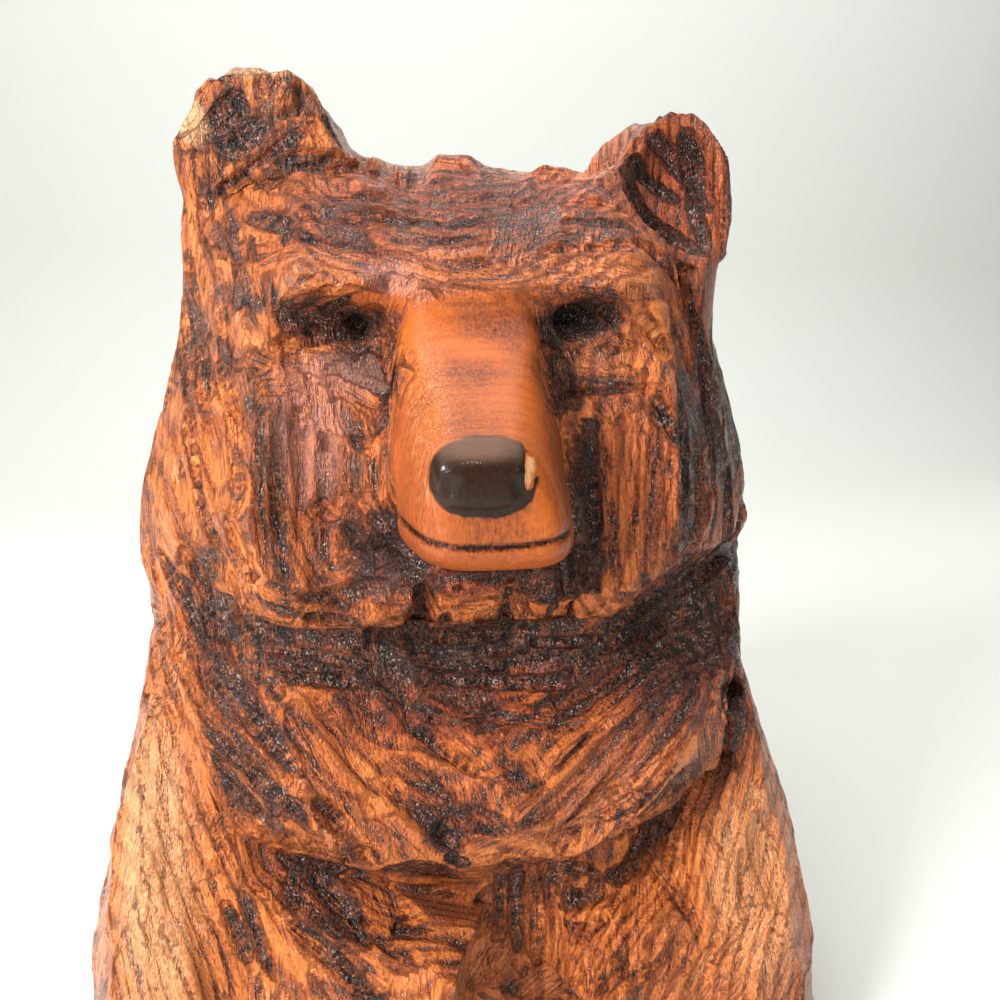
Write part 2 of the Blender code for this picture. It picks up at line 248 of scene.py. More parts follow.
CHEST = (
    [
        Stroke(-78, 138, -48, 116, 7, 1.7, 0.95),
        Stroke(-80, 130, -56, 112, 6, 1.6, 0.15),
        Stroke(-79, 124, -48, 104, 6, 1.7, 0.9),
        Stroke(-78, 116, -60, 102, 6, 1.6, 0.2),
        Stroke(-76, 112, -56, 94, 7, 1.7, 1.0),
        Stroke(-72, 104, -60, 94, 6, 1.4, 0.3),
        Stroke(-74, 140, -60, 128, 6, 1.2, 0.8),
        Stroke(-58, 138, -24, 91, 10, 1.4, 0.05),
        Stroke(-44, 110, -36, 100, 6, 2.2, 1.0),
        Stroke(-62, 98, -60, 84, 5, 1.2, 0.05, 1),
        Stroke(-54, 99, -53, 83, 7, 1.4, 0.05, 1),
        Stroke(-46, 99, -45, 85, 7, 1.4, 0.05, 1),
        Stroke(-38, 99, -38, 86, 4, 1.6, 0.95, 1),
        Stroke(-33, 97, -25, 90, 6, 1.2, 0.5),
        Stroke(-46, 134, -22, 106, 7, 1.4, 0.3),
        Stroke(-38, 130, -18, 100, 5, 1.3, 0.5),
        Stroke(-28, 132, 2, 122, 6, 1.4, 0.45),
        Stroke(-22, 126, 8, 110, 7, 1.8, 0.75),
        Stroke(-14, 122, 6, 111, 7, 1.4, 0.0),
        Stroke(-22, 118, -2, 100, 8, 1.6, 0.55),
        Stroke(-4, 128, 28, 124, 6, 1.4, 0.6),
        Stroke(2, 120, 18, 108, 6, 1.6, 0.6),
        Stroke(14, 118, 22, 108, 6, 1.2, 0.05),
        Stroke(-20, 106, -6, 88, 7, 1.4, 0.35),
        Stroke(-12, 98, -6, 90, 7, 1.8, 0.95),
        Stroke(-8, 90, -3, 82, 4, 1.6, 1.0),
        Stroke(-2, 104, 10, 94, 7, 1.2, 0.3),
    ]
    + fan(Stroke(72, 122, 30, 94, 6.5, 1.7, 0.5), Stroke(60, 130, 10, 96, 6, 1.6, 0.25), 5)
    + [
        Stroke(54, 124, 19, 92, 1.8, 1.5, 1.0),
        Stroke(64, 112, 36, 94, 1.6, 1.2, 0.9),
        Stroke(34, 122, 12, 104, 2.0, 1.3, 0.9),
        Stroke(66, 100, 40, 84, 7, 1.6, 0.75),
        Stroke(50, 90, 28, 80, 7, 1.4, 0.6),
        Stroke(68, 92, 42, 74, 5, 1.6, 0.35),
    ]
)

WAIST = (
    fan(Stroke(3, 74, 2, 46, 5, 1.6, 0.95), Stroke(20, 76, 22, 34, 6, 1.5, 0.6), 4)
    + fan(Stroke(27, 62, 26, 32, 6, 1.5, 0.1), Stroke(42, 56, 38, 36, 5, 1.3, 0.35), 3)
    + [
        Stroke(72, 96, 58, 74, 5, 2.6, 1.0),
        Stroke(60, 76, 40, 58, 5, 2.6, 1.0),
        Stroke(42, 60, 30, 48, 4, 2.2, 1.0),
        Stroke(68, 72, 44, 62, 5, 1.2, 0.1),
        Stroke(60, 66, 50, 50, 5, 1.4, 0.3),
    ]
)

LEFT_ARM = (
    fan(Stroke(-100, 128, -92, 84, 10, 1.2, 0.25), Stroke(-84, 126, -76, 84, 8, 1.2, 0.15), 3)
    + [
        Stroke(-100, 168, -94, 142, 6, 1.4, 0.05),
        Stroke(-96, 166, -80, 144, 8, 1.8, 1.0),
        Stroke(-90, 164, -77, 146, 5, 1.4, 0.9),
        Stroke(-86, 148, -76, 128, 4, 1.0, 0.05),
        Stroke(-100, 140, -84, 118, 8, 1.2, 0.7),
        Stroke(-80, 100, -66, 76, 8, 1.2, 0.6),
        Stroke(-92, 82, -80, 40, 10, 1.2, 0.15),
        Stroke(-80, 80, -68, 42, 9, 1.2, 0.1),
        Stroke(-74, 74, -66, 58, 5, 1.4, 0.9),
        Stroke(-68, 78, -62, 56, 5, 1.2, 0.85),
        Stroke(-60, 75, -52, 54, 4, 1.0, 0.05),
        Stroke(-58, 82, -30, 66, 7, 1.6, 0.8),
        Stroke(-44, 74, -14, 62, 6, 1.5, 0.35),
        Stroke(-34, 82, -6, 68, 7, 1.4, 0.5),
        Stroke(-54, 70, -28, 52, 6, 1.8, 0.8),
        Stroke(-40, 64, -14, 54, 6, 1.3, 0.2),
        Stroke(-16, 70, 4, 60, 6, 1.3, 0.35),
        Stroke(-24, 58, 4, 50, 7, 1.4, 0.6),
        Stroke(-50, 58, -30, 42, 7, 1.4, 0.4),
    ]
)

RIGHT_ARM = [
    Stroke(86, 76, 84, 56, 2.4, 1.2, 0.8),
    Stroke(84, 57, 72, 46, 2.2, 1.0, 0.75),
    Stroke(56, 70, 66, 58, 5, 1.2, 0.4),
    Stroke(66, 64, 72, 46, 5, 1.2, 0.3),
    Stroke(92, 86, 96, 56, 10, 1.2, 0.15),
    Stroke(76, 80, 78, 56, 8, 1.2, 0.2),
    Stroke(88, 60, 90, 34, 10, 1.2, 0.25),
    Stroke(60, 54, 48, 40, 7, 1.4, 0.35),
    Stroke(70, 50, 60, 36, 7, 1.3, 0.3),
    Stroke(88, 140, 92, 108, 7, 1.4, 0.2),
    Stroke(82, 126, 86, 96, 6, 1.6, 0.45),
]

FRONT = EARS + CROWN + BROW + EYES + LEFT_CHEEK + LEFT_SIDE + RIGHT_CHEEK + JAW + NECK
FRONT += CHEST + WAIST + LEFT_ARM + RIGHT_ARM

LUMPS = [
    Lump(-55, 235, 4.5, 1.6),
    Lump(-45.5, 233, 2.8, 1.2),
    Lump(33, 234.5, 4.5, 2.6),
    Lump(56, 239, 7, 1.6),
    Lump(37, 224, 8, 1.2),
    Lump(-31, 248, 8, 0.9),
    Lump(-45, 104, 2.2, 1.8),
    Lump(-10, 95, 4, -1.2),
    Lump(-31, 237, 4.5, -3.5),
    Lump(30, 239, 7, -5),
    Lump(-10, 199.5, 2.0, -1.1),
    Lump(7.5, 199, 2.0, -1.1),
]

# red: the stain lies deep red. dark: scorched wood and old dirt in the varnish, and painted
# shade under the jaw, down the right side, in the eye hollows and in crevices. pale: bare or
# rubbed wood, and a painted highlight on the muzzle's left flank. amber: the honey sapwood.
# rose: a painted pink sheen, for the varnish's reflection of the light. calm: the saw
# sheared it clean, so the stain lies evenly. aged: the varnish has browned on the muzzle,
# and down its right flank it is painted shade. worn: the paint has rubbed off. soft: the
# block was rounded over before it was hewn. eased: the strokes were rubbed down afterwards.
# grey: dust, a painted grey sheen on torn wood, and a painted highlight on the nose's top.
PATCHES = [
    Patch("eased", 16, 255, 7, 9, 0, 0.9),
    Patch("eased", -38, 215, 7, 8, 0, 0.8),
    Patch("eased", 38, 224, 8, 6, 0, 0.6),
    Patch("eased", 0, 274, 44, 9, 0, 0.5),
    Patch("eased", 4, 260, 40, 5, 0, 0.35),
    Patch("aged", 8, 236, 12, 5, 0, 0.6),
    Patch("aged", -2, 224, 9, 3, 0, 0.4),
    # Painted shade down the muzzle's right flank, which is turned from the light.
    Patch("aged", 21, 212, 5, 30, 0, 1.2),
    Patch("soft", 0, 250, 56, 16, 0, 1.0),
    Patch("soft", 0, 244, 26, 14, 0, 1.2),
    Patch("soft", -58, 250, 16, 26, 0, 1.0),
    Patch("soft", 60, 246, 16, 26, 0, 1.0),
    Patch("soft", -58, 222, 14, 14, 0, 0.8),
    Patch("soft", 58, 222, 14, 14, 0, 0.8),
    Patch("soft", -78, 250, 14, 40, 0, 1.0),
    Patch("soft", -96, 175, 18, 46, 0, 1.0),
    Patch("soft", 88, 215, 16, 64, 0, 0.9),
    Patch("soft", -56, 118, 18, 40, 0, 1.0),
    Patch("soft", 56, 124, 14, 26, 0, 0.8),
    Patch("soft", 68, 214, 12, 30, 0, 0.7),
    # Grey patches: dust in the kerfs, and a painted grey sheen where torn wood catches the light.
    Patch("dust_and_sheen", -40, 284, 15, 3.5, 2, 0.9),
    Patch("dust_and_sheen", -32, 269, 14, 1.6, 0, 0.8),
    Patch("dust_and_sheen", -45, 246, 5, 6, 20, 0.7),
    Patch("dust_and_sheen", -32, 227, 8, 4, 0, 0.5),
    Patch("dust_and_sheen", 38, 228, 10, 4, 8, 0.7),
    Patch("dust_and_sheen", -36, 194, 8, 14, 0, 0.6),
    Patch("dust_and_sheen", -70, 250, 8, 20, 0, 0.5),
    Patch("dust_and_sheen", -62, 232, 9, 10, 0, 0.5),
    Patch("dust_and_sheen", 24, 268, 30, 2, -2, 0.7),
    Patch("dust_and_sheen", 27, 262, 24, 1.6, 3, 0.7),
    Patch("dust_and_sheen", 62, 277, 12, 4, -42, 0.6),
    Patch("dust_and_sheen", 76, 268, 6, 14, 0, 0.5),
    Patch("dust_and_sheen", -28, 168, 16, 6, -10, 0.5),
    Patch("dust_and_sheen", 33, 200, 3, 14, 0, 0.5),
    # A painted highlight on the top of the nose.
    Patch("dust_and_sheen", -2, 208, 9, 2.6, 0, 1.0),
    Patch("pale", -79, 298, 5, 9, 20, 1.0),
    Patch("pale", -92, 84, 16, 54, 8, 0.52),
    Patch("pale", 88, 64, 22, 36, 0, 0.46),
    Patch("pale", -52, 200, 8, 26, 0, 0.3),
    Patch("pale", -84, 190, 8, 26, -8, 0.3),
    Patch("pale", -60, 310, 18, 2.5, 0, 0.55),
    Patch("amber", -52, 303, 6, 5, 0, 0.8),
    Patch("dark", -67, 297, 9, 8, 20, 0.4),
    Patch("dark", -76, 280, 6, 7, 0, 0.6),
    Patch("amber", -75, 264, 8, 12, 0, 0.8),
    Patch("red", 68, 280, 20, 26, 0, 0.9),
    # Painted shade on the right ear's outer edge, which faces away from the light.
    Patch("dark", 90, 276, 4, 32, 0, 0.8),
    Patch("amber", 62, 301, 14, 3, -10, 0.6),
    Patch("amber", 84, 285, 3, 18, 0, 0.5),
    Patch("red", 4, 274, 46, 12, 0, 0.9),
    Patch("red", 0, 262, 60, 8, 0, 0.5),
    Patch("dark", -74, 250, 12, 18, 0, 0.35),
    Patch("amber", -52, 251, 10, 6, 0, 0.7),
    Patch("amber", -44, 246, 14, 3, -14, 1.0),
    Patch("amber", 42, 253, 16, 6, 0, 0.9),
    # Painted pink sheen, for the varnish's reflection of the light.
    Patch("painted_sheen", -20, 249, 9, 5, -10, 0.9),
    # Around the left eye: scorched wood, and painted shade under the brow and in the hollow.
    Patch("dark", -38, 241, 9, 2.6, -14, 0.9),
    Patch("dark", -31, 237, 7, 5.5, 0, 1.7),
    Patch("dark", -33, 228, 6, 3.5, 0, 0.7),
    Patch("dark", -41, 237, 13, 5, -10, 0.7),
    # The right eye's hollow and the crevice beside the muzzle: scorched wood and painted shade.
    Patch("dark", 31, 239, 10, 6.5, 0, 1.8),
    Patch("dark", 26, 224, 3, 14, 0, 0.9),
    Patch("amber", -55, 235, 6, 5, 0, 0.9),
    Patch("amber", 55, 240, 9, 8, 0, 0.6),
    # Painted pink sheen.
    Patch("painted_sheen", 38, 224, 11, 7, 0, 0.4),
    Patch("dark", 35, 231, 10, 5, 0, 0.4),
    # A painted grey sheen on the right eyelid, where it catches the light.
    Patch("dust_and_sheen", 36, 232, 9, 5, 0, 0.7),
    # Painted pink sheen on the left cheek.
    Patch("painted_sheen", -38, 222, 16, 8, 0, 0.8),
    Patch("painted_sheen", -44, 208, 12, 20, 0, 0.8),
    Patch("red", -36, 192, 9, 14, 0, 0.6),
    Patch("dark", -36, 192, 6, 9, 0, 0.15),
    Patch("pale", -30, 196, 7, 16, 0, 0.3),
    Patch("amber", -66, 194, 9, 26, 0, 0.6),
    Patch("pale", -66, 192, 8, 24, 0, 0.3),
    Patch("dark", -54, 205, 6, 9, 0, 0.25),
    Patch("dark", -24, 176, 10, 9, 0, 0.9),
    Patch("red", -8, 168, 22, 6, 0, 0.8),
    Patch("red", -22, 176, 9, 8, 0, 0.6),
    Patch("dark", -72, 226, 14, 12, 0, 0.4),
    Patch("amber", -86, 190, 10, 26, -10, 0.8),
    Patch("amber", -66, 164, 9, 12, 0, 0.8),
    Patch("red", 50, 196, 18, 26, 0, 0.4),
    # Painted shadow of the muzzle, in the crevice beside it on the right cheek.
    Patch("dark", 33, 186, 5, 24, 0, 0.8),
    Patch("dark", 31, 168, 7, 8, 0, 1.0),
    Patch("dark", 66, 196, 5, 22, 0, 0.8),
    Patch("red", 84, 220, 22, 50, 0, 0.6),
    # Down the right side of the head, turned from the light: scorched wood and painted shade.
    Patch("dark", 88, 200, 14, 40, 0, 0.4),
    Patch("red", 66, 270, 16, 10, -40, 0.6),
    # Painted shadow under the jaw, across the neck.
    Patch("dark", -40, 146, 34, 5, -8, 0.9),
    Patch("dark", -2, 141, 46, 10, 0, 1.1),
    Patch("dark", -4, 128, 32, 8, 0, 0.45),
    Patch("red", -6, 126, 34, 10, 0, 0.6),
    Patch("red", 20, 134, 40, 8, 0, 0.6),
    # Painted shadow that the head casts on the right of the neck.
    Patch("dark", 70, 146, 34, 16, 20, 0.7),
    Patch("red", 70, 140, 36, 22, 20, 0.7),
    Patch("red", 84, 140, 6, 12, 0, 0.9),
    Patch("dark", -64, 124, 18, 10, -30, 0.45),
    Patch("dark", -64, 104, 16, 7, -30, 0.45),
    Patch("amber", -82, 118, 5, 34, 14, 0.9),
    Patch("amber", -98, 160, 4, 20, 4, 0.9),
    Patch("amber", -66, 87, 6, 7, 0, 1.0),
    Patch("amber", -36, 112, 8, 26, 38, 0.5),
    Patch("amber", -4, 116, 10, 6, -28, 0.6),
    # Painted shade in the notch below the chest.
    Patch("dark", -10, 95, 5, 5, 0, 1.0),
    Patch("red", -8, 100, 12, 12, 0, 0.5),
    # Painted pink sheen on the chest.
    Patch("painted_sheen", 40, 108, 30, 12, 32, 0.4),
    Patch("dark", 12, 62, 14, 16, 0, 0.3),
    Patch("amber", 30, 46, 12, 18, 0, 0.5),
    # Painted shade in the crevice between the chest and the right arm.
    Patch("dark", 58, 76, 16, 6, 42, 0.9),
    Patch("amber", -86, 60, 24, 70, 10, 0.8),
    # Painted pink sheen on the left arm.
    Patch("painted_sheen", -86, 100, 14, 26, 10, 0.4),
    Patch("dark", -66, 64, 6, 10, 0, 0.6),
    Patch("dark", -42, 68, 20, 8, -28, 0.25),
    Patch("amber", 86, 60, 26, 34, 0, 0.6),
    Patch("pale", 92, 89, 3, 4, 0, 0.5),
    Patch("pale", 68, 44, 6, 2, 40, 0.45),
    Patch("amber", -60, 66, 5, 13, 14, 1.0),
    # Painted shadow that the head casts on the right shoulder.
    Patch("dark", 90, 118, 12, 26, -10, 0.5),
    Patch("calm", -86, 60, 24, 80, 8, 0.9),
    Patch("calm", 88, 66, 26, 50, 0, 0.9),
    Patch("calm", -42, 252, 22, 7, 0, 0.7),
    Patch("calm", 42, 253, 20, 7, 0, 0.8),
    Patch("calm", 0, 252, 26, 12, 0, 0.9),
    Patch("calm", -86, 190, 12, 34, -8, 0.7),
    Patch("calm", 50, 196, 12, 28, 0, 0.6),
    Patch("calm", -38, 112, 9, 30, 38, 0.8),
    Patch("calm", 34, 114, 26, 10, 32, 0.6),
    Patch("calm", -50, 92, 18, 9, 0, 0.8),
    Patch("calm", -2, 116, 12, 8, -28, 0.7),
    Patch("calm", 0, 274, 50, 14, 0, 0.9),
    Patch("calm", -42, 200, 14, 28, 0, 0.7),
    Patch("calm", -66, 192, 9, 30, 0, 0.7),
    Patch("eased", 94, 120, 8, 8, 0, 0.9),
    Patch("eased", -17, 289, 5, 3.5, 0, 1.0),
    Patch("eased", -28, 291, 7, 3.5, 0, 1.0),
    # A painted highlight on the muzzle's left flank, which faces the light.
    Patch("pale", -12, 214, 8, 30, 0, 0.36),
    Patch("pale", -54, 300, 12, 8, 0, 0.3),
    Patch("worn", 9.0, 203, 1.2, 4.2, -8, 0.8),
    Patch("pale", 9.0, 203, 1.2, 4.2, -8, 0.9),
    Patch("worn", -9.8, 202, 1.2, 2.5, 20, 0.3),
    Patch("worn", 4, 200, 3, 2, 0, 0.25),
]

# A patch is gone at this many of its half sizes, and fades out over the last one. All of
# them fade out between these depths, in millimetres, so none is on the back.
PATCH_REACH = 1.5
PATCHES_END = (10, 40)

# Where the wood was sanded after the saw: the muzzle. Between two levels at its root, the
# sanding reaches further back. It fades out over a few millimetres at each of its edges.
MUZZLE_HALF = 30
MUZZLE_Z = (177, 246)
MUZZLE_BACK = -50
ROOT_REACH = 14
ROOT_Z = (222, 236)

# The line between the lips as seen from the front, half its width, its depth, and how
# far back it runs. Then the nostrils: places, half width, and depth as a share of it.
MOUTH = ((-20, 187.4), (-14, 186), (-6.5, 185), (3, 184.8), (11, 185.4), (20, 187))
MOUTH_HALF = 1.1
MOUTH_DEPTH = 1.0
MOUTH_BACK = -56
NOSTRILS = ((-9.2, 197.5), (7, 197.5))
NOSTRIL_HALF = 2.2
NOSTRIL_DEPTH = 1.6

# The painted nose: its middle, its half sizes, how square it is across and up, how much
# further it reaches below its middle than above, how quickly the paint gives out at its
# edge, and how far back it runs.
NOSE = (-1, 201.5)
NOSE_HALF = (12.3, 8.6)
NOSE_SQUARE = (2.6, 2.2)
NOSE_DROP = 0.12
PAINT_EDGE = 1.2
NOSE_BACK = -77

# A pass follows slopes up to this, ramps in and out over this share of its length, and
# takes off at most this many times its own depth.
STEEPEST = 0.6
RAMP = 0.35
MOST_REMOVED = 2.5

# The tool's edge is rounded with this power. What a pass takes off fades out between
# these shares of half its width, and between these cosines of the wood's slope to it.
EDGE_POWER = 3
FADE_ACROSS = (0.9, 1.5)
FADE_FACING = (0.05, 0.45)

# Where the chip broke off short, the tool is lifted by the square of this, in depths.
OUT_OF_REACH = 9

# Each pass has a pattern of its own, because its third coordinate differs by up to this.
TONE_APART = 0.1

# How much less torn a pass is at its edges than along its middle.
EDGE_CLEANER = 0.55

# How many times the mesh is averaged with its neighbours to take off the stairs of the
# remesh, to round the block where it is soft, to sand the muzzle, to find which way the
# block faces, to find the wood around a splinter, to ease the strokes, and to spread the
# scorch.
STAIR_ROUNDS = 4
SOFT_ROUNDS = 80
SANDING_ROUNDS = 18
LIE_ROUNDS = 14
AROUND_ROUNDS = 8
EASING_ROUNDS = 30
SCORCH_ROUNDS = 3

# The rough passes' lengths and widths, how far they stray from the lay of the cut in
# radians, how torn they may be, and how their depths vary. No pass reaches less far than
# the shortest on either side of its middle.
ROUGH_LENGTH = (28, 60)
ROUGH_WIDTH = (15, 24)
ROUGH_STRAY = 0.25
ROUGH_TORN = (0.05, 0.15, 0.35, 0.6)
ROUGH_DEPTH = (0.6, 1.3)
SHORTEST = 3

# The gap between two rough passes, in stroke spacings: the least, and what chance adds.
LEAST_GAP = 0.8
CHANCE_GAP = 0.6

# Torn fibres stand up where a pass was torn or a patch is dark, by this share of it, and
# break off raggedly at the edge of the torn wood, which lies between two levels. Their
# pattern drifts this much up the log. Shreds and crumbs rise by shares of the tear's
# height, the shreds from a level of their own. Sanding takes this share off the rings.
DARK_TORN = 0.4
RAGGED = 0.9
TORN_FROM = (0.25, 0.75)
FIBRE_DRIFT = 0.15
SHRED_RISE = 1.3
SHRED_LEVEL = 0.6
CRUMB_RISE = 0.9
RINGS_SANDED = 0.8

# The drawn passes cut this many times as deep as the tables say.
DEPTH_SHARE = 1.1

# How far a spike may stand out of the wood around it before it snaps off, and how often
# that is repeated. Then how far a splinter may stand out, and how far in a slit may go.
SPIKE = 1.3
SNAPS = 4
PROUDEST = 0.6
DEEPEST = -1.2

# How dark the wood is where nothing else has touched it, on the muzzle, and how much
# painted shade darkens the line between the lips and the nostrils.
WOOD_BURN = 0.24
MUZZLE_BURN = 0.4
MOUTH_SHADE = 0.4

# What else darkens it: the scorch where it tore, each pass's own tone, the stain dragged
# along a pass, the stain and painted shade that gather in hollows, the stain that leaves the
# ridges, and the patches, whose dark ones are partly painted shade. Calm patches take away
# this share of all that but the patches.
SCORCHED = 0.36
TONED = 0.3
DRAGGED = 0.22
SHADE_AND_STAIN_IN_HOLLOWS = 0.16
ON_RIDGES = 0.1
BURN_AND_SHADE_OF_PATCHES = (("dark", 0.34), ("red", 0.1), ("amber", -0.16))
CALMED = 0.7

# How far the wood's tone is then drawn towards that of clean cuts or that of torn ones,
# and between which tones it goes from the one to the other.
CLEAR_BURN = 0.27
TORN_BURN = 0.73
BETWEEN_THEM = (0.26, 0.62)
EVENNESS = 0.7

# The same for the muzzle: the mottling, the stain and painted shade in its hollows, and the
# aged patches: browned varnish, and painted shade down its right flank.
MUZZLE_MOTTLE = 0.6
MUZZLE_SHADE_AND_STAIN = 0.5
BROWNED_AND_SHADED = 0.2

# Stain and painted shade gather in hollows, which are found at two sizes: how many times
# the mesh is averaged to find them, and how deep in it such a hollow fully counts.
HOLLOWS = ((6, 0.35), (40, 1.2))

# The mottling of the stain: each layer's share, its size in millimetres, and its seed.
# It is longer up the log by the stretch.
MOTTLES = ((0.2, 34, 17), (0.24, 13, 19), (0.16, 6, 21), (0.1, 3, 23))
MOTTLE_STRETCH = 1.6

# Patterns: the size of the pattern along each axis in millimetres, and its seed. Shreds
# of torn wood, combs of the chain's teeth and dragged stain follow each stroke: along it,
# across it, and from stroke to stroke. The others follow the log.
SHREDS = ((5.5, 2.1, 6), 3)
CRUMBS = ((2.4, 2.4, 3.4), 5)
BREAKS = ((9, 9, 13), 7)
COMBS = ((30, 2, 1), 15)
STREAKS = ((1.9, 1.9, 16), 13)
DRAGS = ((26, 2.8, 1), 27)
SCORCHES = ((7, 7, 10), 29)
WANDERING = ((40, 40, 90), 9)

# How far the growth rings wander, in millimetres.
WANDERS = 7

# Triangles are kept on the front, where thinning has this weight, against 1 on the back.
# Between these depths it goes from the one to the other. The underside, which faces down
# by more than this cosine, is thinned like the back.
THIN_FRONT = 0.2
THIN_FROM = (20, 45)
UNDERSIDE = -0.8

# The log's pith runs up through the bear, behind its face and a little to the left.
PITH = (-6, 34)

# The stain's shades, from the clearest wood to the most burnt, by how dark it is.
SHADES = (
    ("honey", 0.0),
    ("amber", 0.18),
    ("heart", 0.38),
    ("russet", 0.56),
    ("umber", 0.72),
    ("char", 0.98),
)

# ---------------------------------------------------------------- tables of the stage

# The camera stands close in front of the face, a little to the left of it: its place in
# metres, how far it turns right and looks down in degrees, and its lens in millimetres.
CAMERA_AT = (-0.019, -0.250, 0.225)
CAMERA_YAW = 7.5
CAMERA_PITCH = 10.0
LENS = 27.036
SENSOR = 36

# The paper's wall stands behind the bear, and curves into the floor with this radius. Its
# lamp hangs in front of it, at this height, tilted back at it by this many degrees.
WALL_Y = 1.6
PAPER_CURVE = 0.5
WALL_LAMP_SIZE = 3.0
WALL_LAMP_GAP = 1.0
WALL_LAMP_Z = 2.4
WALL_LAMP_TILT = 40

# How bright the studio looks beyond the paper.
BEYOND = 0.9

# The lamps aim at this point of the bear's axis, in metres.
AIM = (0, 0, 0.17)

# A lamp: where it hangs and its size in metres, and its share of the key light's power.
# The small ones only make the varnish glint.
Lamp = namedtuple("Lamp", "name place size share")

LAMPS = [
    Lamp("key", (-0.78, -0.55, 0.72), 0.26, 0.9),
    Lamp("front", (-0.6, -1.0, 0.5), 0.36, 0.28),
    Lamp("glint_left", (-0.9, -0.7, 0.3), 0.07, 0.06),
    Lamp("glint_top", (0.0, -0.75, 1.0), 0.07, 0.06),
    Lamp("glint_right", (0.7, -0.8, 0.6), 0.07, 0.04),
]


# ---------------------------------------------------------------- numbers on the mesh


def linear(hex_colour):
    """A linear colour from an sRGB hex value."""
    channels = [int(hex_colour[i : i + 2], 16) / 255 for i in (1, 3, 5)]
    return [c / 12.92 if c <= 0.04045 else ((c + 0.055) / 1.055) ** 2.4 for c in channels]


def unit(vectors):
    """The vectors, or the one vector, brought to a length of 1."""
    return vectors / np.maximum(np.linalg.norm(vectors, axis=-1, keepdims=True), 1e-12)


def step(values, low, high):
    """0 below low, 1 above high, smooth between."""
    t = np.clip((values - low) / (high - low), 0, 1)
    return t * t * (3 - 2 * t)


def lattice(cells, seed):
    """A value from 0 to 1 for each whole-number cell, the same every time."""
    mix = cells[..., 0] * 374761393 + cells[..., 1] * 668265263 + cells[..., 2] * 2147483647
    mix = (mix + seed * 974634777) & 0xFFFFFFFF
    mix = ((mix ^ (mix >> 13)) * 1274126177) & 0xFFFFFFFF
    mix = ((mix ^ (mix >> 16)) * 2246822519) & 0xFFFFFFFF
    return ((mix ^ (mix >> 13)) & 0xFFFFFF) / 0xFFFFFF


def noise(points, sizes, seed):
    """Smooth value noise from 0 to 1: sizes is the grain along each axis, in millimetres."""
    places = points / (np.array(sizes) * MM)
    cells = np.floor(places).astype(np.int64)
    t = places - cells
    t = t * t * (3 - 2 * t)
    total = np.zeros(len(points))
    for corner in range(8):
        offset = np.array([(corner >> axis) & 1 for axis in range(3)])
        weight = np.prod(np.where(offset, t, 1 - t), axis=1)
        total += weight * lattice(cells + offset, seed)
    return total


